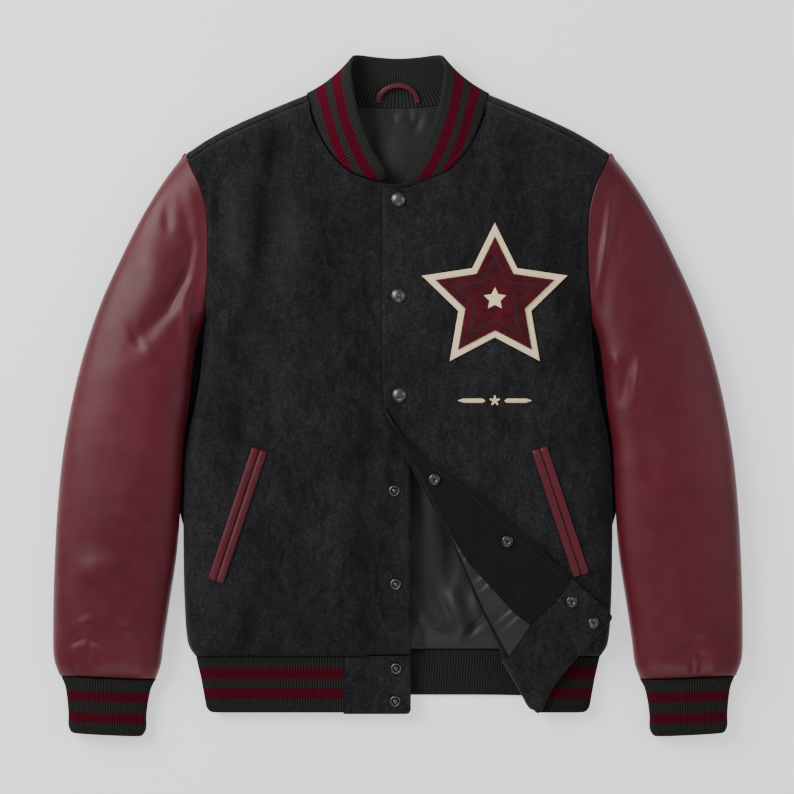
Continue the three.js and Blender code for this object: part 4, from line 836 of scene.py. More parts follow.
class VarsityJacketLook(bpy.types.PropertyGroup):
    """Colours of the cloths, knit, leather, trim and floor."""

    def swatch(name, description, default):
        return FloatVectorProperty(
            name=name, description=description, default=default, subtype="COLOR", size=3, min=0, max=1
        )

    wool_color: swatch("Wool", "Ground colour of the wool", (0.0025, 0.0024, 0.003))
    wool_fleck: swatch("Wool fleck", "Lighter fibres in the wool", (0.045, 0.0423, 0.0475))
    leather_color: swatch("Leather", "Main colour of the leather", (0.1, 0.0085, 0.018))
    leather_light: swatch("Leather wear", "Lighter patches of the leather", (0.128, 0.014, 0.027))
    knit_color: swatch("Knit", "Ground colour of the ribbed knit", (0.0155, 0.016, 0.0145))
    stripe_color: swatch("Stripe", "Bands in the ribbed knit", (0.056, 0.0012, 0.0072))
    facing_color: swatch("Facing", "Smoother cloth on the turned-back corner", (0.0058, 0.0057, 0.0064))
    satin_color: swatch("Satin", "Lining", (0.0165, 0.0162, 0.0188))
    felt_color: swatch("Felt", "Felt under the patch", (0.98, 0.78, 0.49))
    chenille_color: swatch("Chenille", "Raised patch", (0.1, 0.0035, 0.013))
    metal_color: swatch("Metal", "Snaps", (0.1, 0.1, 0.1))
    floor_color: swatch("Floor", "Surface under the jacket", (0.94, 0.94, 0.94))


class VarsityJacketSizes(bpy.types.PropertyGroup):
    """Sizes of the fine detail that the solids leave out."""

    def length(name, description, default):
        return FloatProperty(name=name, description=description, default=default, unit="LENGTH")

    rib_pitch: length("Rib pitch", "Distance from rib to rib in the knit", 0.003)
    rib_rise: length("Rib rise", "Height of a rib above and below the knit's middle", 0.00044)
    stitch_length: length("Stitch", "Length of one topstitch", 0.0032)
    thread_radius: length("Thread", "Radius of the sewing thread", 0.00034)
    wool_step: length("Wool step", "Distance between mesh points on the wool", 0.0033)
    snap_segments: IntProperty(name="Snap segments", description="Steps round a snap", default=40, min=12)
    key_power: FloatProperty(
        name="Key light", description="Power of the large light at the upper left", default=72.0
    )


def settings():
    return bpy.context.scene.varsity_look, bpy.context.scene.varsity_sizes


def material_named(name, make):
    return bpy.data.materials.get(name) or make()


def fibre():
    return bpy.data.node_groups.get("Felted fibre") or fibre_group()


# Body panels
UNDERARM = 0.66
NECK_SHARE = 0.61


def shoulder_seam_y(x):
    rows = [(row[0], row[1]) for row in SHOULDER_LINE]
    slope = (table(rows, x + 4) - table(rows, x - 4)) / 8
    return table(rows, x) - SHOULDER_TURN * np.hypot(1, slope) - 0.35


def side_edge(side, vs, bottom=None):
    rows = SIDE_LINE if bottom is None else [bottom, *SIDE_LINE[1:]]
    below = dense(mirrored(rows, side))
    top = (ARMHOLE_TOP_X, float(shoulder_seam_y(ARMHOLE_TOP_X))) if bottom is None else ARMHOLE[-1]
    above = dense(mirrored([*ARMHOLE[:-1], top], side))
    low = along(below, clamp(vs / UNDERARM, 0, 1))
    high = along(above, clamp((vs - UNDERARM) / (1 - UNDERARM), 0, 1))
    return np.where((vs <= UNDERARM)[:, None], low, high)


def front_points(side, neck_rows, hem_end, placket, us, vs, height):
    neck = dense(mirrored([*NECKLINE, *neck_rows], side))
    on_neck = along(neck, clamp((us - NECK_SHARE) / (1 - NECK_SHARE), 0, 1))
    x = lerp(ARMHOLE_TOP_X, NECKLINE[0][0], clamp(us / NECK_SHARE, 0, 1))
    on_shoulder = np.stack([side * x, shoulder_seam_y(x)], -1)
    high = np.where((us > NECK_SHARE)[:, None], on_neck, on_shoulder)
    first = side_edge(side, vs)
    low = np.stack([lerp(first[0, 0], hem_end, us), np.full(len(us), HEM_SEAM_Y)], -1)
    plan = relaxed(coons(low, high, first, placket, us, vs))
    made = raised(plan, height)
    made[..., 2] = np.maximum(made[..., 2], SIDE_SEAM_Z + SEAM_GAP / 2)
    return made


def shares_with(count, *fixed):
    """Even shares with some exact ones among them, so that a corner keeps its point."""
    t = np.linspace(0, 1, count)
    for value in fixed:
        t[np.argmin(abs(t - value))] = value
    return t


def rolled(points, edges, radius=1.4):
    """Turns the given edges of a sheet slightly down, as a pressed edge does."""
    out = points.copy()
    for axis, end in edges:
        line = np.take(points, [end], axis=axis)
        away = np.linalg.norm(points[..., :2] - line[..., :2], axis=-1)
        out[..., 2] -= radius * (1 - dome(away, radius * 1.6)) * 0.9
    return out


def paint_fold_shade(obj):
    """Stores how deep in a fold each point of the wool lies, for the painted shade in the folds and the
    painted highlight on the ridges of the wool's colour.
    """
    places = np.empty(len(obj.data.vertices) * 3, np.float32)
    obj.data.vertices.foreach_get("co", places)
    x, y = places[0::3] / MM, places[1::3] / MM
    share = fold_depth(BODY_FOLDS, x, y) / FOLD_SHADE_DEPTH
    layer = obj.data.attributes.new("fold_shade", "FLOAT", "POINT")
    layer.data.foreach_set("value", clamp(share, -1, 1).astype(np.float32))


def build_fronts(look, sizes):
    wool = material_named("Wool melton", lambda: wool_material(look))
    step = sizes.wool_step / MM
    nu, nv = round(252 / step), round(610 / step)
    us, vs = shares_with(nu, NECK_SHARE), shares_with(nv, UNDERARM)
    placket = np.stack([np.full(nv, UNDERLAP_X), lerp(HEM_SEAM_Y, UNDERLAP_NECK[-1][1], vs)], -1)
    left = front_points(-1, UNDERLAP_NECK, UNDERLAP_X, placket, us, vs, left_top)
    left = rolled(left, [(0, -1)])
    left_obj = shell("Front_left", left, WOOL, wool)
    paint_fold_shade(left_obj)
    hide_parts("front_left")

    neck_top = OVERLAP_NECK[-1]
    fold_top = FOLD_LINE[0]
    fold_share = (fold_top[1] - HEM_SEAM_Y) / (neck_top[1] - HEM_SEAM_Y)
    vs = shares_with(nv, UNDERARM, fold_share)
    below = dense(FOLD_LINE[7::-1])
    on_fold = along(below, clamp(vs / fold_share, 0, 1))
    share = clamp((vs - fold_share) / (1 - fold_share), 0, 1)
    x = lerp(fold_top[0], neck_top[0], np.minimum(1, share * 8))
    on_edge = np.stack([x, lerp(fold_top[1], neck_top[1], share)], -1)
    placket = np.where((vs <= fold_share)[:, None], on_fold, on_edge)
    right = front_points(1, OVERLAP_NECK, FOLD_LINE[7][0], placket, us, vs, right_top)
    edge = smooth(-20, 0, right[:, :, 1])
    right = right * (1 - edge[..., None]) + rolled(right, [(0, -1)]) * edge[..., None]
    right_obj = shell("Front_right", right, WOOL, wool)
    paint_fold_shade(right_obj)
    corner = build_corner_wool(wool)
    fold = build_fold("Front_fold", 1, 7, right_top, WOOL, facing_material(look))
    for piece in (corner, fold):
        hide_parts("front_right")
    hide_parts("front_right")


def strip_between(first, last, count, across):
    """A plan of points between two lines, each taken at even shares of its length."""
    shares = np.linspace(0, 1, count)
    a, b = along(dense(first), shares), along(dense(last), shares)
    t = np.linspace(0, 1, across)[None, :, None]
    return a[:, None] * (1 - t) + b[:, None] * t


def build_corner_wool(wool):
    plan = strip_between(FREE_EDGE, FOLD_LINE[:8], 110, 34)
    points = raised(plan, lambda x, y: flap_under(x, y) + WOOL)
    return shell("Corner_wool", rolled(points, [(1, 0)]), WOOL, wool)


def build_fold(name, first_row, last_row, under, thickness, material, taper=0.1):
    """The bend of the turned-back corner, from the layer below to the layer above."""
    line = dense(FOLD_LINE[first_row : last_row + 1])
    count = round(length_of(line) / 2.5)
    shares = np.linspace(0, 1, count)
    here = along(line, shares)
    ahead = unit(np.gradient(here, axis=0))
    out = np.stack([-ahead[:, 1], ahead[:, 0]], -1) * -1
    low = under(here[:, 0], here[:, 1])
    high = flap_under(here[:, 0], here[:, 1]) + thickness
    middle, radius = (low - WOOL + high) / 2, (high - low + WOOL) / 2
    rounding = dome((1 - shares) * length_of(line), taper)
    columns = []
    for turn in np.radians(np.linspace(-6, 186, 22)):
        reach = radius * np.sin(turn) * rounding
        z = middle - radius * np.cos(turn)
        columns.append(np.column_stack([here + out * reach[:, None], z]))
    points = np.stack(columns, 1)
    bm = grid_bmesh(points)
    bm.normal_update()
    outward = Vector((float(out[0, 0]), float(out[0, 1]), 0))
    if sum(face.normal.dot(outward) for face in bm.faces) < 0:
        bmesh.ops.reverse_faces(bm, faces=bm.faces)
    add_wall(bm, FOLD_WALL)
    return add_object(name, bm, material)


def build_side(side, name, wool):
    """The back's cloth, seen low in the groove between the body and the sleeve."""
    y = np.linspace(GROOVE_LOW_Y, GROOVE_HIGH_Y, 92)
    body = np.interp(y, *zip(*[(row[1], row[0]) for row in SIDE_LINE]))
    sleeve = np.interp(y, *zip(*[(row[1], row[0]) for row in SLEEVE_INNER[::-1]]))
    reach = lerp(body - 0.4, sleeve + 1.6, smooth(GROOVE_LOW_Y, -122, y))
    reach = lerp(reach, body + 1.2, smooth(76, GROOVE_HIGH_Y, y))
    t = np.linspace(0, 1, 7)[None]
    x = lerp((body - 1.5)[:, None], reach[:, None], t)
    z = np.broadcast_to(lerp(7.2, 3.0, t**0.7), x.shape)
    return shell(name, np.stack([side * x, np.broadcast_to(y[:, None], x.shape), z], -1), 1.2, wool)


def build_back(look, sizes):
    wool = material_named("Wool melton", lambda: wool_material(look))
    us = shares_with(111, 0.29, 0.5, 0.71)
    us = lerp(us, (1 - np.cos(math.pi * us)) / 2, 0.35)
    vs = shares_with(116, UNDERARM)
    shoulder, neck = dense(SHOULDER_LINE[::-1]), dense(BACK_NECK)
    half = np.minimum(us, 1 - us)
    neck_column = float(half[np.argmin(abs(half - 0.27))])
    on_shoulder = along(shoulder, clamp(half / neck_column, 0, 1))
    on_neck = along(neck, clamp((half - neck_column) / (0.5 - neck_column), 0, 1))
    high = np.where((half < neck_column)[:, None], on_shoulder, on_neck)
    high[:, 0] *= np.where(us < 0.5, -1, 1)
    low = np.stack([lerp(-224, 224, us), np.full(len(us), BACK_HEM_SEAM_Y)], -1)
    bottom = (224, BACK_HEM_SEAM_Y)
    sides = [side_edge(side, vs, bottom) for side in (-1, 1)]
    plan = coons(low, high, *sides, us, vs)
    points = raised(plan, body_under)
    points[..., 2] = np.minimum(points[..., 2], SIDE_SEAM_Z - SEAM_GAP / 2)
    back = shell("Back", points, WOOL, wool, down=True)
    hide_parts("back")
    for side, word in ((-1, "left"), (1, "right")):
        strip = build_shoulder(side, f"Shoulder_{word}", wool)
        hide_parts("back")
        groove = build_side(side, f"Side_{word}", wool)
        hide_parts("back")


def build_shoulder(side, name, wool):
    """The back's cloth, where it turns over the shoulder to the seam on the front."""
    rows = [(row[0], row[1]) for row in SHOULDER_LINE]
    x = np.linspace(100.5, 232.5, 90)
    y = table(rows, x)
    slope = (table(rows, x + 5) - table(rows, x - 5)) / 10
    inward = unit(np.stack([slope, -np.ones_like(slope)], -1))
    columns = []
    for away in (0.02, 0.15, 0.5, 1, 1.8, 2.8, 4, 5.4, 6.8, 7.9, 8.6, 9):
        z = SIDE_SEAM_Z + (crown_z(x) - SIDE_SEAM_Z) * dome(away, EDGE_ROUND)
        z -= 1.2 * smooth(7.6, 9.2, away)
        columns.append(np.column_stack([side * (x + inward[:, 0] * away), y + inward[:, 1] * away, z]))
    return shell(name, np.stack(columns, 1), WOOL, wool)


def build_lining(look, sizes):
    satin = material_named("Satin lining", lambda: satin_material(look))
    us, vs = np.linspace(0, 1, 120), np.linspace(0, 1, 170)
    neck = along(dense(mirrored(BACK_NECK[1:], -1) + BACK_NECK[-2:0:-1]), us)
    neck[:, 1] -= 0.4
    low = np.stack([lerp(-190, 190, us), np.full(len(us), BACK_HEM_SEAM_Y + 1)], -1)
    side = dense([(190, low[0, 1]), (200, -150), (180, 40), (176, 180), (160, 250), (110, 300), (70, 325.6)])
    right = along(side, vs)
    plan = coons(low, neck, right * (-1, 1), right, us, vs)
    x, y = plan[..., 0], plan[..., 1]
    puff = 0.4 * np.sin(x / 13 + 2 * np.sin(y / 31)) * np.sin(y / 37 + x / 29)
    gather = 0.7 * np.exp(-(((y + 258) / 15) ** 2)) * np.sin(x / 4.9 + 1.5 * np.sin(x / 17))
    pleat = 0.35 * np.exp(-(((y - 312) / 10) ** 2)) * np.sin(x / 3.6 + np.sin(x / 9))
    ease = (np.minimum(us, 1 - us) > 0.03)[:, None] * smooth(0, 0.02, 1 - vs)[None]
    rest = WOOL + SEAM_GAP + LINING
    swell = 6.2 * np.exp(-(((y + 244) / 30) ** 2)) * smooth(-282, -266, y)
    swell += 5.5 * np.exp(-(((y - 248) / 26) ** 2))
    z = rest + 1.2 - fold_depth(LINING_FOLDS, x, y) + (puff + gather + pleat) * ease + swell
    z = np.maximum(z, rest)
    lining = shell("Back_lining", np.stack([x, y, z], -1), LINING, satin)
    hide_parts("back_lining")


# Sleeves
def sleeve_plan(side, shares, s):
    cuff = along(dense(mirrored(CUFF_SEAM, side)), s)
    hole = along(dense(mirrored(ARMHOLE[::-1], side)), s)
    hole[:, 0] += side * 0.5
    outer = along(dense(mirrored(SLEEVE_OUTER, side)), shares)
    inner = along(dense(mirrored(SLEEVE_INNER, side)), shares)
    return coons(outer, inner, hole, cuff, shares, s)


def build_sleeves(look, sizes):
    leather = material_named("Leather", lambda: leather_material(look))
    for side, word in ((-1, "left"), (1, "right")):
        shares, turn = even(210, 0.35), np.linspace(0, math.pi, 84)
        plan = sleeve_plan(side, shares, (1 - np.cos(turn)) / 2)
        x, y = plan[..., 0], plan[..., 1]
        swell = np.sin(turn)[None] ** SLEEVE_SHAPE
        rise = softened(softened(np.interp(shares, *zip(*SLEEVE_HEIGHTS))))[:, None]
        gather = dome(1 - shares, CUFF_GATHER)[:, None]
        sleeve = SIDE_SEAM_Z + lerp(CUFF_TOP_Z - SIDE_SEAM_Z, rise, gather) * swell
        sleeve -= (fold_depth(SLEEVE_FOLDS[side], x, y) + sleeve_rumple(side, x, y, shares[:, None])) * swell
        z = lerp(body_top(x[:1], y[:1]), sleeve, smooth(0, ARMHOLE_BLEND, shares)[:, None])
        z = np.maximum(z, SIDE_SEAM_Z + SEAM_GAP / 2)
        upper = shell(f"Sleeve_{word}_upper", np.stack([x, y, z], -1), LEATHER, leather)
        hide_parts(f"sleeve_{word}_upper")
        shares, turn = even(110, 0.35), np.linspace(0, math.pi, 48)
        plan = sleeve_plan(side, shares, (1 - np.cos(turn)) / 2)
        x, y = plan[..., 0], plan[..., 1]
        away = np.minimum(distance_inside(OUTER_EDGE, abs(x), y), distance_inside(INNER_EDGE, abs(x), y))
        z = np.minimum(SIDE_SEAM_Z * (1 - dome(away, UNDER_ROUND)), SIDE_SEAM_Z - SEAM_GAP / 2)
        under = shell(f"Sleeve_{word}_under", np.stack([x, y, z], -1), LEATHER, leather, down=True)
        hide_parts(f"sleeve_{word}_under")


def sleeve_rumple(side, x, y, share):
    """Soft creases of the leather, closer together near the cuff."""
    wide = 0.5 * np.sin(y / 27 + 1.4 * np.sin(x / 19)) * np.sin(x / 23 + side)
    cuff = 0.9 * np.exp(-(((1 - share) / 0.07) ** 2)) * np.sin(x / 6.3 + 1.2 * np.sin(x / 11))
    return wide * smooth(0.05, 0.2, share) + cuff


# Knit
def rib_wave(phase):
    """A rounded rib: wide crests and narrow furrows."""
    return 2 * np.abs(np.sin(math.pi * phase)) ** 0.55 - 1.25


def build_collar(look, sizes):
    right = COLLAR_STATIONS[:-1][::-1]
    left = [(-a, b, c, -d, e, f) for a, b, c, d, e, f in [COLLAR_LEFT_END, *COLLAR_STATIONS[1:]]]
    stations = dense([*left, *right], 60, 0.0)
    middle = (stations[:, :3] + stations[:, 3:]) / 2
    total = length_of(middle)
    ribs = round(total * MM / sizes.rib_pitch)
    count = ribs * 6 + 1
    steps = np.concatenate([[0], np.cumsum(np.linalg.norm(np.diff(middle, axis=0), axis=1))]) / total
    share = np.linspace(0, 1, count)
    rows = np.stack([np.interp(share, steps, stations[:, k]) for k in range(6)], -1)
    seam, free = rows[:, :3], rows[:, 3:]
    ahead = np.gradient((seam + free) / 2, axis=0)
    ahead = np.stack([softened(ahead[:, k]) for k in range(3)], -1)
    out = unit(np.cross(free - seam, ahead))
    width = np.linalg.norm(free - seam, axis=1)
    seam = seam - (free - seam) / width[:, None] * COLLAR_TUCK - out * COLLAR_TUCK * 0.6
    width = np.linalg.norm(free - seam, axis=1)
    wave = rib_wave(share * ribs) * sizes.rib_rise / MM
    ends = dome(np.minimum(share, 1 - share) * total, 7)
    half = KNIT / 2 + wave
    at_turn = np.exp(-(((np.minimum(share, 1 - share) - COLLAR_TURN) / 0.06) ** 2))
    flat = np.linspace(0, 0.955, 26)
    across = np.concatenate([flat, [0.975, 0.99, 1.0, 0.99, 0.975], flat[::-1]])
    lift = np.concatenate([np.ones(26), [0.8, 0.45, 0.0, -0.45, -0.8], -np.ones(26)])
    columns = []
    for w, up in zip(across, lift):
        reach = w * lerp(0.82, 1, ends)
        crown = (COLLAR_CROWN - COLLAR_SAG * at_turn) * 4 * w * (1 - w)
        columns.append(seam + (free - seam) * reach[:, None] + out * (half * up + crown)[:, None])
    points = np.stack(columns, 1)
    bm = grid_bmesh(points)
    cap_ends(bm)
    bands = ((11.5 / COLLAR_DEEP, 22.5 / COLLAR_DEEP), (30 / COLLAR_DEEP, 40.5 / COLLAR_DEEP))
    # Painted light: the collar's knit gets its own lift, for how brightly the collar is lit.
    knit = knit_material(look, "Knit collar", ribs, 42, bands, 2.0)
    collar = add_object("Collar", bm, knit)
    deep = np.minimum(width, COLLAR_DEEP) * (1 - 0.1 * at_turn)
    away = (1 - across[None]) * deep[:, None] / COLLAR_DEEP
    away[:, 29:] *= -1
    place_by_grid(collar, np.broadcast_to(share[:, None], away.shape), away)
    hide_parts("collar")


def place_by_grid(obj, us, vs):
    """Sets the UV map from arrays of U and V for each column and row of the grid that made the mesh."""
    layer = obj.data.uv_layers["UVMap"].uv
    places = np.empty(len(layer) * 2, np.float32)
    layer.foreach_get("vector", places)
    i = np.rint(places[0::2] * (us.shape[0] - 1)).astype(int)
    j = np.rint(places[1::2] * (us.shape[1] - 1)).astype(int)
    places[0::2], places[1::2] = us[i, j], vs[i, j]
    layer.foreach_set("vector", places)


def place_across(obj, across):
    """Makes the UV map's V say how far across the band each row of points is."""
    layer = obj.data.uv_layers["UVMap"].uv
    places = np.empty(len(layer) * 2, np.float32)
    layer.foreach_get("vector", places)
    places[1::2] = np.interp(places[1::2], np.linspace(0, 1, len(across)), across)
    layer.foreach_set("vector", places)


def cap_ends(bm):
    """Closes an open tube's two ends and its long slit."""
    edges = [edge for edge in bm.edges if edge.is_boundary]
    bmesh.ops.holes_fill(bm, edges=edges, sides=0)


def superellipse(middle, half, low, high, count):
    """A flattened closed ring in x and z, flat below and rounder above, with points at even distances."""
    turn = np.linspace(0, 2 * math.pi, 721)
    centre = (low + high) / 2
    reach = (high - low) / 2
    power = np.where(np.sin(turn) >= 0, 0.6, 0.35)
    z = centre + reach * np.sign(np.sin(turn)) * np.abs(np.sin(turn)) ** power
    x = middle + half * np.cos(turn)
    return along(np.column_stack([x, z]), np.linspace(0, 1, count))


def ring_normals(ring):
    ahead = unit(np.roll(ring[:-1], -1, 0) - np.roll(ring[:-1], 1, 0))
    out = np.column_stack([ahead[:, 1], -ahead[:, 0]])
    return np.vstack([out, out[:1]])


def doubled(last, turn, outer, inner):
    """A doubled band's shares across it and depths below its face: down the face, round the edge and up."""
    shares = np.concatenate([np.linspace(0, last, outer), turn, np.linspace(last, 0, inner)])
    depths = np.concatenate([np.zeros(outer), [0.5, 1.2, 2.0, 2.8, 3.5], np.full(inner, KNIT)])
    return shares, depths


def build_cuffs(look, sizes):
    rise = sizes.rib_rise / MM
    ribs = round(222 / (sizes.rib_pitch / MM))
    count = ribs * 6 + 1
    # Painted light: the cuffs' knit gets its own lift, for how brightly the cuffs are lit.
    knit = knit_material(look, "Knit cuff", ribs, 46, ((0.24, 0.41), (0.6, 0.77)), 1.45)
    sections = dense(CUFF_SECTIONS, 12, 1.0)
    wave = rib_wave(np.linspace(0, 1, count) * ribs) * rise
    for side, word in ((-1, "left"), (1, "right")):
        shares, depths = doubled(0.97, [0.985, 0.996, 1.0, 0.996, 0.985], 26, 14)
        columns = []
        for share, depth in zip(shares, depths):
            xo, xi, yo, yi, top = along(sections, np.array([share]))[0]
            middle, half = (xo + xi) / 2, (xo - xi) / 2
            ring = superellipse(middle, half, 0.0, top, count)
            out = ring_normals(ring)
            ripple = wave * (1 if depth < 2 else -1)
            ease = 0.4 if depth == KNIT else 1
            place = ring - out * depth + out * ripple[:, None] * ease
            y = lerp(yo, yi, clamp((xo - ring[:, 0]) / (xo - xi), 0, 1))
            z = np.maximum(place[:, 1], 0.02)
            columns.append(np.column_stack([side * place[:, 0], y, z]))
        points = np.stack(columns, 1)
        bm = grid_bmesh(points)
        bmesh.ops.remove_doubles(bm, verts=bm.verts, dist=1e-6)
        bmesh.ops.bridge_loops(bm, edges=[edge for edge in bm.edges if edge.is_boundary])
        cuff = add_object(f"Cuff_{word}", bm, knit)
        place_across(cuff, shares)
        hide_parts(f"cuff_{word}")


def hem_line(half, end_x, top_z, sign):
    """The hem band's line in x and z, from its side fold towards the middle."""
    turn = np.radians(np.linspace(0, 90, 24))
    span = top_z - HEM_SIDE_Z if sign > 0 else -HEM_SIDE_Z
    x = half - 18 * (1 - np.cos(turn))
    z = HEM_SIDE_Z + span * np.sin(turn) + sign * SEAM_GAP / 2
    return np.vstack([np.column_stack([x, z]), [[end_x, z[-1]]]])


def hem_piece(name, look, sizes, side, end_x, rows, sign, bands, lift, drop=0.0, keep=None):
    """One hem band, as a ribbed sheet with a rounded lower edge and its own thickness."""
    top = rows[0][1]
    length = length_of(hem_line(top, end_x, HEM_TOP_Z, sign))
    ribs = round(length / (sizes.rib_pitch / MM))
    count = ribs * 6 + 1
    rise = sizes.rib_rise / MM
    wave = rib_wave(np.linspace(0, 1, count) * ribs) * rise
    y0, y1 = rows[0][0], rows[-1][0]
    shares, depths = doubled(0.965, [0.98, 0.992, 1.0, 0.992, 0.98], 24, 10)
    columns = []
    for share, depth in zip(shares, depths):
        y = lerp(y0, y1, share)
        half = table(rows, y)
        line = along(hem_line(half, end_x, hem_top(y) if sign > 0 else 0, sign), np.linspace(0, 1, count))
        ahead = unit(np.gradient(line, axis=0))
        out = np.column_stack([ahead[:, 1], -ahead[:, 0]]) * (1 if sign > 0 else -1)
        if sign > 0:
            place = line - out * depth + out * (wave * (1 if depth < 2 else -0.5))[:, None]
        else:
            place = line - out * depth - out * (wave * (1 if depth > 2 else 0))[:, None]
        z = np.maximum(place[:, 1], 0.02)
        down = drop * (abs(place[:, 0]) / top) ** 6 * share
        x = np.maximum(place[:, 0], end_x) if sign > 0 else place[:, 0]
        columns.append(np.column_stack([side * x, y - down, z]))
    points = np.stack(columns, 1)
    if keep is not None:
        points = keep(points)
    bm = grid_bmesh(points)
    cap_ends(bm)
    knit = knit_material(look, f"Knit {name.lower()}", ribs, 46, bands, lift)
    band = add_object(name, bm, knit)
    place_across(band, shares)
    return band, length


def build_hems(look, sizes):
    # Painted light: each hem band's knit gets its own lift, for how brightly that band is lit.
    bands = ((0.21, 0.4), (0.56, 0.75))
    left, length = hem_piece("Hem_left", look, sizes, -1, 59.4, HEM_SIDES, 1, bands, 1.4)
    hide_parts("hem_left")

    def beside_fold(points):
        limit = np.interp(-points[..., 1], [286, 320, 349], [127.5, 143, 157])
        points[..., 0] = np.maximum(points[..., 0], limit)
        return points

    right, length = hem_piece("Hem_right", look, sizes, 1, 127.5, HEM_SIDES, 1, bands, 1.1, keep=beside_fold)
    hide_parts("hem_right")
    rows = [(BACK_HEM_SEAM_Y, 221.5), (BACK_HEM_EDGE_Y, 208)]
    for side, word in ((-1, "left"), (1, "right")):
        back, length = hem_piece(
            f"Hem_back_{word}", look, sizes, side, 0, rows, -1, (), 1.6, BACK_HEM_CORNER_DROP
        )
        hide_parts("hem_back")


# Hem blocks, facing and the lining on the turned-back corner
def lying_sheet(name, plan, under, thickness, material, edges=(), gathers=0.0):
    points = raised(plan, lambda x, y: under(x, y) + thickness)
    if gathers:
        x, y = points[..., 0], points[..., 1]
        phase = 0.66 * x - 0.75 * y
        fade = np.linspace(1, 0.2, plan.shape[1])
        points[..., 2] += gathers * fade * (np.sin(phase / 2.7 + 1.8 * np.sin(phase / 6.9)) + 1) / 2
    return shell(name, rolled(points, edges), thickness, material)


def build_corner(look, sizes):
    wool = material_named("Wool melton", lambda: wool_material(look))
    satin = material_named("Satin lining", lambda: satin_material(look))
    free = inset(FREE_EDGE[2:], 1.4)
    facing_free = [*free, (176.2, -219.4)]
    facing_seam = [*FOLD_LINE[2:4], *FACING_SEAM[:-1], (146.4, -249)]
    plan = strip_between(facing_free, [(4.2, -50.8), *facing_seam], 110, 30)
    facing = lying_sheet("Facing", plan, corner_top, FACING, facing_material(look), [(1, 0), (1, -1)])
    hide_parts("facing_right")

    seam = [(x - 0.5, y - 0.5) for x, y in FACING_SEAM]
    plan = strip_between(seam, [*FOLD_LINE[4:7], (121.6, -285.2)], 130, 24)
    sliver = lying_sheet("Lining_right", plan, corner_top, LINING, satin, gathers=2.1)
    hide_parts("lining_right")

    block_seam = [(x + 0.2, y - 0.2) for x, y in BLOCK_SEAM]
    lower = BLOCK_EDGE[3:]
    lead = BLOCK_EDGE[:3]
    plan = block_plan(block_seam, [*lead, *lower])
    thick = WOOL + SEAM_GAP + FACING
    block = lying_sheet("Hem_block_right", plan, flap_under, thick, wool, [(1, -1)])
    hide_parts("hem_block_right")
    fold = build_fold("Hem_fold", 7, 9, lambda x, y: hem_top(y), thick, wool, 12)
    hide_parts("hem_block_right")


def block_plan(seam, edge):
    """The hem block on the corner: from its seam to its outer edge, fanned between matching ends."""
    us = np.linspace(0, 1, 90)
    across = 40
    vs = np.linspace(0, 1, across)
    high = along(dense(seam), us)
    line = along(dense(edge, 12), us)
    fold_side = along(dense(FOLD_LINE[7:]), vs)
    lead_side = np.repeat(high[:1], across, 0)
    return coons(high, line, lead_side, fold_side, us, vs)


def inset(rows, by):
    line = np.array(rows, float)
    ahead = unit(np.gradient(line, axis=0))
    return [(x + a[1] * by, y - a[0] * by) for (x, y), a in zip(line, ahead)]


def build_block(look, sizes):
    wool = material_named("Wool melton", lambda: wool_material(look))
    us, vs = np.linspace(0, 1, 34), np.linspace(0, 1, 34)
    x = lerp(-60, UNDERLAP_X, us)[:, None]
    y = lerp(HEM_SEAM_Y - SEAM_GAP, -350.5, vs)[None]
    plan = np.stack(np.broadcast_arrays(x, y), -1)
    corner = dome(UNDERLAP_X - plan[..., 0], 5)
    plan = plan.copy()
    plan[..., 1] += (1 - corner) * 4 * smooth(-340, -350, plan[..., 1])
    edges = [(0, -1), (1, -1), (0, 0), (1, 0)]
    block = lying_sheet("Hem_block_left", plan, lambda a, b: hem_top(b) - KNIT, KNIT, wool, edges)
    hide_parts("hem_block_left")


# Stitches
def stitches(line, height, sizes, lift=0.12, length=None):
    """The two ends of each topstitch along a line of x and y, in millimetres."""
    line = dense(line, 16)
    count = max(2, round(length_of(line) * MM / (length or sizes.stitch_length)))
    ends = along(line, np.linspace(0, 1, count + 1))
    ends = np.column_stack([ends, np.array(height(ends[:, 0], ends[:, 1])) + lift])
    return list(zip(ends[:-1], ends[1:]))


def thread(name, pairs, sizes, material, gap=0.35, thick=1.0):
    """Sewn thread: a long bead, half sunk in the cloth, for each pair of ends."""
    bm = bmesh.new()
    radius = sizes.thread_radius * thick
    for a, b in pairs:
        way = Vector(b - a)
        turn = way.to_track_quat("Z", "Y").to_matrix().to_4x4()
        size = Matrix.Diagonal((radius, radius, way.length * MM * (0.5 - gap / 2), 1))
        place = Matrix.Translation(Vector((a + b) / 2) * MM)
        bmesh.ops.create_uvsphere(bm, u_segments=6, v_segments=5, radius=1, matrix=place @ turn @ size)
    return add_object(name, bm, material)


def threads(look):
    """The jacket's sewing threads by name."""
    colors = {"dark": (0.018, 0.018, 0.02), "maroon": (0.075, 0.008, 0.014), "cream": look.felt_color}
    made = {}
    for key, color in colors.items():
        name = f"Thread {key}"
        made[key] = material_named(name, lambda: thread_material(name, color))
    return made


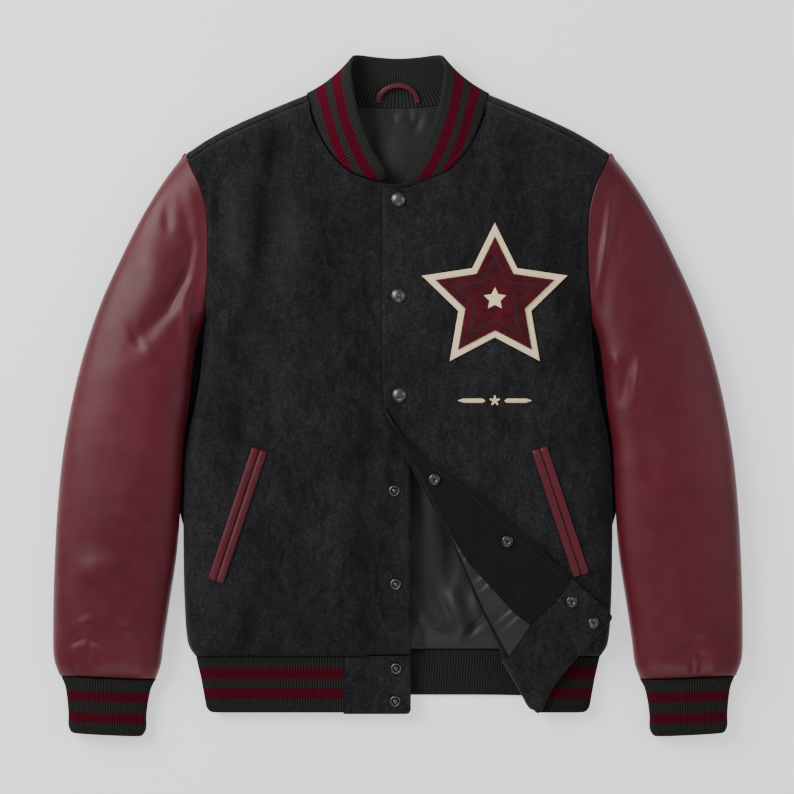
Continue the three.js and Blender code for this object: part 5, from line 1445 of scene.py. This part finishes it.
def build_stitches(look, sizes):
    dark = threads(look)["dark"]
    block_row = [(x, HEM_SEAM_Y - 5) for x in (-55, -20, UNDERLAP_X - 5)]
    rows = [
        ("Stitch_overlap", [(OVERLAP_X + 6.6, y) for y in (224, 160, 100, 40, -6)], right_top),
        ("Stitch_underlap", [(UNDERLAP_X - 5, y) for y in (-30, -100, -180, -283)], left_top),
        ("Stitch_facing", inset(FREE_EDGE[2:], 7.5), lambda x, y: corner_top(x, y) + FACING),
        ("Stitch_hem_block", block_row, lambda x, y: hem_top(y)),
        ("Stitch_neck_right", inset([*NECKLINE, *OVERLAP_NECK[:3]][::-1], -5.5)[1:-1], right_top),
        ("Stitch_neck_left", inset(mirrored([*NECKLINE, *UNDERLAP_NECK[:1]], -1), -5.5)[1:-1], left_top),
    ]
    for side, word in ((-1, "left"), (1, "right")):
        seam = [(x, float(shoulder_seam_y(x)) - 4.5) for x in (108, 140, 170, 200, 222)]
        rows.append((f"Stitch_shoulder_{word}", mirrored(seam, side), body_top))
    for name, line, height in rows:
        thread(name, stitches(line, height, sizes), sizes, dark)


# Trim
def swept(name, centres, across, section, material):
    """A closed section carried along centres. section gives shares across and heights."""
    rings = []
    for (x, y, z), (ax, ay) in zip(centres, across):
        rings.append([(x + ax * out, y + ay * out, z + up) for out, up in section])
    points = np.array([ring + ring[:1] for ring in rings])
    bm = grid_bmesh(points)
    bmesh.ops.remove_doubles(bm, verts=bm.verts, dist=1e-7)
    cap_ends(bm)
    return add_object(name, bm, material)


def build_pockets(look, sizes):
    leather = material_named("Leather", lambda: leather_material(look))
    dark, red = threads(look)["dark"], threads(look)["maroon"]
    for side, word in ((-1, "left"), (1, "right")):
        x1, y1, x2, y2 = POCKETS[side]
        ahead = np.array([x2 - x1, y2 - y1]) / math.hypot(x2 - x1, y2 - y1)
        side_way = np.array([-ahead[1], ahead[0]])
        for strip, which in ((-1, "inner"), (1, "outer")):
            near, far = WELT_SLIT / 2, WELT_SLIT / 2 + WELT_WIDTH
            t = np.linspace(0, 1, 70)
            turn = np.linspace(0, math.pi, 15)
            width = far - near
            section = [
                (near + width / 2 + width / 2 * -math.cos(a), WELT_THICK * math.sin(a) ** 0.55) for a in turn
            ]
            section += [(near + width * 0.7, -0.6), (near + width * 0.3, -0.6)]
            centres, ways = [], []
            for share in t:
                x, y = lerp(x1, x2, share), lerp(y1, y2, share)
                way = side_way * strip
                mid_x, mid_y = side * (x + way[0] * 5), y + way[1] * 5
                end = float(dome(np.minimum(share, 1 - share) * WELT_LENGTH, 2.2))
                z = float(body_top(np.array(mid_x), np.array(mid_y))) + 0.5 - 1.6 * (1 - end)
                centres.append((side * x, y, z))
                ways.append((side * way[0], way[1]))
            welt = swept(f"Welt_{word}_{which}", centres, ways, section, leather)
            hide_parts(f"welt_{word}_{which}")
            off_x, off_y = side_way * strip * WELT_STITCH
            shares = (0.01, 0.33, 0.66, 0.99)
            line = [(side * (lerp(x1, x2, s) + off_x), lerp(y1, y2, s) + off_y) for s in shares]
            sewn = stitches(line, lambda x, y: body_top(x, y) + 2.25, sizes)
            thread(f"Stitch_welt_{word}_{which}", sewn, sizes, red)
        # A thin strip of dark thread material fills the slit between the welts: painted shade in the pocket
        # opening.
        slit = [(side * lerp(x1, x2, s), lerp(y1, y2, s)) for s in np.linspace(0.01, 0.99, 12)]
        centres = [(x, y, float(body_top(np.array(x), np.array(y))) + 0.2) for x, y in slit]
        ways = [(side * side_way[0], side_way[1])] * len(slit)
        section = [(-0.7, 0.5), (0.7, 0.5), (0.7, -0.4), (-0.7, -0.4)]
        swept(f"Slit_shadow_{word}", centres, ways, section, dark)


def build_loop(look, sizes):
    leather = material_named("Leather", lambda: leather_material(look))
    turn = np.linspace(0, math.pi, 60)
    x = LOOP_HALF * np.cos(turn)
    y = LOOP_BASE_Y + (LOOP_APEX_Y - LOOP_BASE_Y) * np.sin(turn)
    z = 4.5 + 3.6 * smooth(321, 345, y) + 1.6 + 1.2 * np.sin(turn)
    ahead = unit(np.gradient(np.stack([x, y], -1), axis=0))
    across = np.column_stack([-ahead[:, 1], ahead[:, 0]])
    across *= (1 - 0.25 * np.sin(turn))[:, None]
    round_turn = np.linspace(0, 2 * math.pi, 16, endpoint=False)
    section = [(LOOP_HALF_WIDTH * math.cos(a), LOOP_HALF_THICK * math.sin(a)) for a in round_turn]
    loop = swept("Hang_loop", np.column_stack([x, y, z]), across, section, leather)
    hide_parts("hang_loop")


def lathe(name, profile, shade_rings, place, height, sizes, material, cad):
    """A turned metal piece on the cloth's own slope. The rings are the radius and width of its dark rings of
    painted shade.
    """
    bm = bmesh.new()
    steps = dense([(r, z) for r, z in profile], 3, 0.5)
    steps[:, 0] = np.maximum(steps[:, 0], 0)
    verts = [bm.verts.new(Vector((r, 0, z)) * MM) for r, z in steps]
    edges = [bm.edges.new(pair) for pair in zip(verts[:-1], verts[1:])]
    bmesh.ops.spin(
        bm, geom=[*verts, *edges], axis=(0, 0, 1), cent=(0, 0, 0), angle=2 * math.pi,
        steps=sizes.snap_segments, use_merge=True, use_duplicate=False,
    )
    bmesh.ops.remove_doubles(bm, verts=bm.verts, dist=2e-6)
    layer = bm.verts.layers.float.new("ring_shade")
    for vert in bm.verts:
        r = math.hypot(vert.co.x, vert.co.y) / MM
        vert[layer] = max(float(smooth(width, 0, abs(r - ring))) for ring, width in shade_rings)
    x, y = place
    reach = 5.5
    dx = (float(height(x - reach, y)) - float(height(x + reach, y))) / (2 * reach)
    dy = (float(height(x, y - reach)) - float(height(x, y + reach))) / (2 * reach)
    turn = Vector((0, 0, 1)).rotation_difference(Vector((dx, dy, 1)).normalized())
    bmesh.ops.rotate(bm, verts=bm.verts, cent=(0, 0, 0), matrix=turn.to_matrix())
    bmesh.ops.translate(bm, verts=bm.verts, vec=Vector((x, y, float(height(x, y)) + 0.3)) * MM)
    snap = add_object(name, bm, material)
    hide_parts(cad)


def build_snaps(look, sizes):
    metal = material_named("Snap metal", lambda: metal_material(look))

    def flat(fn):
        return lambda x, y: fn(np.array(float(x)), np.array(float(y)))

    def stud_rest(x, y):
        return np.where(y < HEM_SEAM_Y, hem_top(y), left_top(x, y))

    def socket_rest(x, y):
        on_block = (x > 185) | (y < -215)
        return np.where(on_block, flap_under(x, y) + WOOL + SEAM_GAP + FACING, corner_top(x, y) + FACING)

    kinds = (
        ("cap", SNAP_CAPS, CAP_PROFILE, CAP_SHADE_RINGS, right_top),
        ("stud", SNAP_STUDS, STUD_PROFILE, STUD_SHADE_RINGS, stud_rest),
        ("socket", SNAP_SOCKETS, SOCKET_PROFILE, SOCKET_SHADE_RINGS, socket_rest),
    )
    for kind, places, profile, shade_rings, rest in kinds:
        for i, place in enumerate(places, 1):
            name = f"Snap_{kind}_{i}"
            lathe(name, profile, shade_rings, place, flat(rest), sizes, metal, name.lower())


# Patch
def star_outline(radius, x=STAR_X, y=STAR_Y):
    outline = []
    for k in range(10):
        turn = math.pi / 2 + k * math.pi / 5
        reach = radius / 2 if k % 2 else radius
        outline.append((x + reach * math.cos(turn), y + reach * math.sin(turn)))
    return outline


def star_points(radius, rings, per_side):
    """A plan of a star as rings of points from its middle to its edge."""
    corners = np.array(star_outline(radius) + star_outline(radius)[:1])
    edge = along_sides(corners, per_side)
    centre = np.array([STAR_X, STAR_Y])
    t = np.array(rings)[None, :, None]
    return centre + (edge[:, None] - centre) * t


def along_sides(corners, per_side):
    out = []
    for a, b in zip(corners[:-1], corners[1:]):
        out.append(a + (b - a) * np.linspace(0, 1, per_side, endpoint=False)[:, None])
    return np.vstack([*out, corners[-1:]])


def star_piece(name, radius, base, thick, round_edge, material, wave=0.0):
    rings = np.concatenate([np.linspace(0.02, 0.94, 40), [0.955, 0.97, 0.98, 0.988, 0.994, 1.0, 1.0]])
    plan = star_points(radius, rings, 16)
    x, y = plan[..., 0], plan[..., 1]
    edge = (1 - rings)[None] * radius * 0.55
    z = right_top(x, y) + base + thick * dome(edge, round_edge)
    z[:, -1] = right_top(x[:, -1], y[:, -1]) + base
    z += wave * np.sin(x * 1.9) * np.sin(y * 1.9) * (edge > 0.5)
    bm = grid_bmesh(np.stack([x, y, z], -1))
    bmesh.ops.remove_doubles(bm, verts=bm.verts, dist=1e-6)
    cap_ends(bm)
    return add_object(name, bm, material)


def build_patch(look, sizes):
    felt = wool_material(look, "Felt cream", rgba(look.felt_color), rgba(look.felt_color, 0.85), 0.4)
    pile = chenille_material(look)
    base = star_piece("Patch_felt", STAR_R, 0.4, 1.6, 1.2, felt)
    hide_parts("patch_felt")
    top = star_piece("Patch_chenille", STAR_R - 15.3, 1.9, 2.9, 2.4, pile, 0.12)
    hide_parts("patch_chenille")
    star_piece("Patch_star", 13.0, 4.6, 1.2, 1.0, felt)
    cream, dark = threads(look)["cream"], threads(look)["dark"]
    sewn = star_stitches(STAR_R - 4, lambda x, y: right_top(x, y) + 1.9, sizes)
    thread("Stitch_patch", sewn, sizes, cream)
    for radius, name in ((48, "outer"), (43.5, "inner")):
        sewn = star_stitches(radius, lambda x, y: right_top(x, y) + 4.75, sizes)
        thread(f"Stitch_pile_{name}", sewn, sizes, dark, gap=0.05, thick=1.5)
    build_embroidery(sizes, cream)


def star_stitches(radius, height, sizes, x=STAR_X, y=STAR_Y):
    corners = star_outline(radius, x, y)
    sides = zip(corners, corners[1:] + corners[:1])
    return [pair for side in sides for pair in stitches(list(side), height, sizes)]


def build_embroidery(sizes, cream):
    """A small star between two tapered bars, in satin stitch."""
    middle_y = -5.0
    for side, word in ((-1, "left"), (1, "right")):
        pairs = []
        for x in np.arange(11, 40, 0.62):
            half = 2.7 * min(1, (40 - x) / 7 + 0.15, (x - 11) / 3 + 0.3)
            rows = [(STAR_X + side * (x + lean), middle_y + half * lean / 0.5) for lean in (-0.5, 0.5)]
            ends = np.array(rows)
            ends = np.column_stack([ends, right_top(ends[:, 0], ends[:, 1]) + 0.1])
            pairs.append((ends[0], ends[1]))
        thread(f"Embroidered_bar_{word}", pairs, sizes, cream, gap=0, thick=1.3)
    pairs = []
    for corner in star_outline(6.5, STAR_X, middle_y):
        for lean in np.linspace(-0.2, 0.2, 5):
            turn = math.atan2(corner[1] - middle_y, corner[0] - STAR_X) + lean
            size = math.hypot(corner[1] - middle_y, corner[0] - STAR_X) * (1 - 0.9 * abs(lean))
            end = np.array((STAR_X + size * math.cos(turn), middle_y + size * math.sin(turn)))
            ends = np.array([(STAR_X, middle_y), end])
            ends = np.column_stack([ends, right_top(ends[:, 0], ends[:, 1]) + 0.2])
            pairs.append((ends[0], ends[1]))
    thread("Embroidered_star", pairs, sizes, cream, gap=0, thick=1.4)


# Camera, lights and floor
def build_stage(look, sizes):
    bm = bmesh.new()
    bmesh.ops.create_grid(bm, x_segments=8, y_segments=8, size=6.0)
    mesh = bpy.data.meshes.new("Floor")
    bm.to_mesh(mesh)
    bm.free()
    floor = bpy.data.objects.new("Floor", mesh)
    floor.location.z = -0.0004
    mesh.materials.append(floor_material(look))
    bpy.context.scene.collection.objects.link(floor)

    world = bpy.data.worlds.new("Studio")
    bpy.context.scene.world = world
    world.use_nodes = True
    world.node_tree.nodes["Background"].inputs["Color"].default_value = (1, 1, 1, 1)
    world.node_tree.nodes["Background"].inputs["Strength"].default_value = 0.36

    def area(name, place, target, size, power):
        data = bpy.data.lights.new(name, "AREA")
        data.shape = "RECTANGLE"
        data.size, data.size_y = size
        data.energy = power
        light = bpy.data.objects.new(name, data)
        light.location = place
        way = Vector(target) - Vector(place)
        light.rotation_euler = way.to_track_quat("-Z", "Y").to_euler()
        bpy.context.scene.collection.objects.link(light)

    area("Key", (-1.75, 1.15, 1.7), (0, 0, 0), (1.5, 1.5), sizes.key_power)
    area("Fill", (1.9, 0.3, 1.6), (0, 0, 0), (1.2, 1.6), sizes.key_power * 0.14)
    area("Low", (0.1, -2.0, 1.5), (0, -0.1, 0), (1.8, 0.9), sizes.key_power * 0.2)

    data = bpy.data.cameras.new("Camera")
    data.lens = 100
    data.sensor_width = 36
    data.clip_end = 50
    camera = bpy.data.objects.new("Camera", data)
    half_frame = 794 * 1.1 * MM / 2
    reach = half_frame / (data.sensor_width / 2 / data.lens)
    camera.location = (-0.001, -0.001, reach + 0.02)
    bpy.context.scene.collection.objects.link(camera)
    bpy.context.scene.camera = camera


# Operators
class JacketOperator:
    """Shared by the jacket's operators: reads the settings and runs one builder."""

    bl_options = {"REGISTER", "UNDO"}

    def execute(self, context):
        look, sizes = settings()
        for build in self.builders:
            build(look, sizes)
        return {"FINISHED"}


class JACKET_OT_body(JacketOperator, bpy.types.Operator):
    """Build the wool back, fronts, turned-back corner, hem blocks and linings"""

    bl_idname = "jacket.body"
    bl_label = "Body"
    builders = (build_back, build_lining, build_fronts, build_corner, build_block)


class JACKET_OT_sleeves(JacketOperator, bpy.types.Operator):
    """Build the leather sleeves"""

    bl_idname = "jacket.sleeves"
    bl_label = "Sleeves"
    builders = (build_sleeves,)


class JACKET_OT_knit(JacketOperator, bpy.types.Operator):
    """Build the ribbed collar, cuffs and hem bands"""

    bl_idname = "jacket.knit"
    bl_label = "Knit"
    builders = (build_collar, build_cuffs, build_hems)


class JACKET_OT_trim(JacketOperator, bpy.types.Operator):
    """Build the stitches, pocket welts and hang loop"""

    bl_idname = "jacket.trim"
    bl_label = "Trim"
    builders = (build_stitches, build_pockets, build_loop)


class JACKET_OT_snaps(JacketOperator, bpy.types.Operator):
    """Build the snaps"""

    bl_idname = "jacket.snaps"
    bl_label = "Snaps"
    builders = (build_snaps,)


class JACKET_OT_patch(JacketOperator, bpy.types.Operator):
    """Build the star patch and the small embroidery under it"""

    bl_idname = "jacket.patch"
    bl_label = "Patch"
    builders = (build_patch,)


class JACKET_OT_stage(JacketOperator, bpy.types.Operator):
    """Build the floor, lights and camera"""

    bl_idname = "jacket.stage"
    bl_label = "Stage"
    builders = (build_stage,)


class VIEW3D_PT_jacket(bpy.types.Panel):
    """Sidebar panel with the jacket's settings and operators"""

    bl_label = "Varsity jacket"
    bl_idname = "VIEW3D_PT_jacket"
    bl_space_type = "VIEW_3D"
    bl_region_type = "UI"
    bl_category = "Jacket"

    def draw(self, context):
        layout = self.layout
        for group in settings():
            column = layout.column()
            for key in group.__annotations__:
                column.prop(group, key)
        for operator in OPERATORS:
            layout.operator(operator.bl_idname)


OPERATORS = (
    JACKET_OT_body,
    JACKET_OT_sleeves,
    JACKET_OT_knit,
    JACKET_OT_trim,
    JACKET_OT_snaps,
    JACKET_OT_patch,
    JACKET_OT_stage,
)
CLASSES = (VarsityJacketLook, VarsityJacketSizes, *OPERATORS, VIEW3D_PT_jacket)


def register():
    for cls in CLASSES:
        bpy.utils.register_class(cls)
    bpy.types.Scene.varsity_look = PointerProperty(type=VarsityJacketLook)
    bpy.types.Scene.varsity_sizes = PointerProperty(type=VarsityJacketSizes)


def unregister():
    del bpy.types.Scene.varsity_look
    del bpy.types.Scene.varsity_sizes
    for cls in reversed(CLASSES):
        bpy.utils.unregister_class(cls)


def main():
    register()
    bpy.ops.jacket.body()
    bpy.ops.jacket.sleeves()
    bpy.ops.jacket.knit()
    bpy.ops.jacket.trim()
    bpy.ops.jacket.snaps()
    bpy.ops.jacket.patch()
    bpy.ops.jacket.stage()


if __name__ == "__main__":
    main()
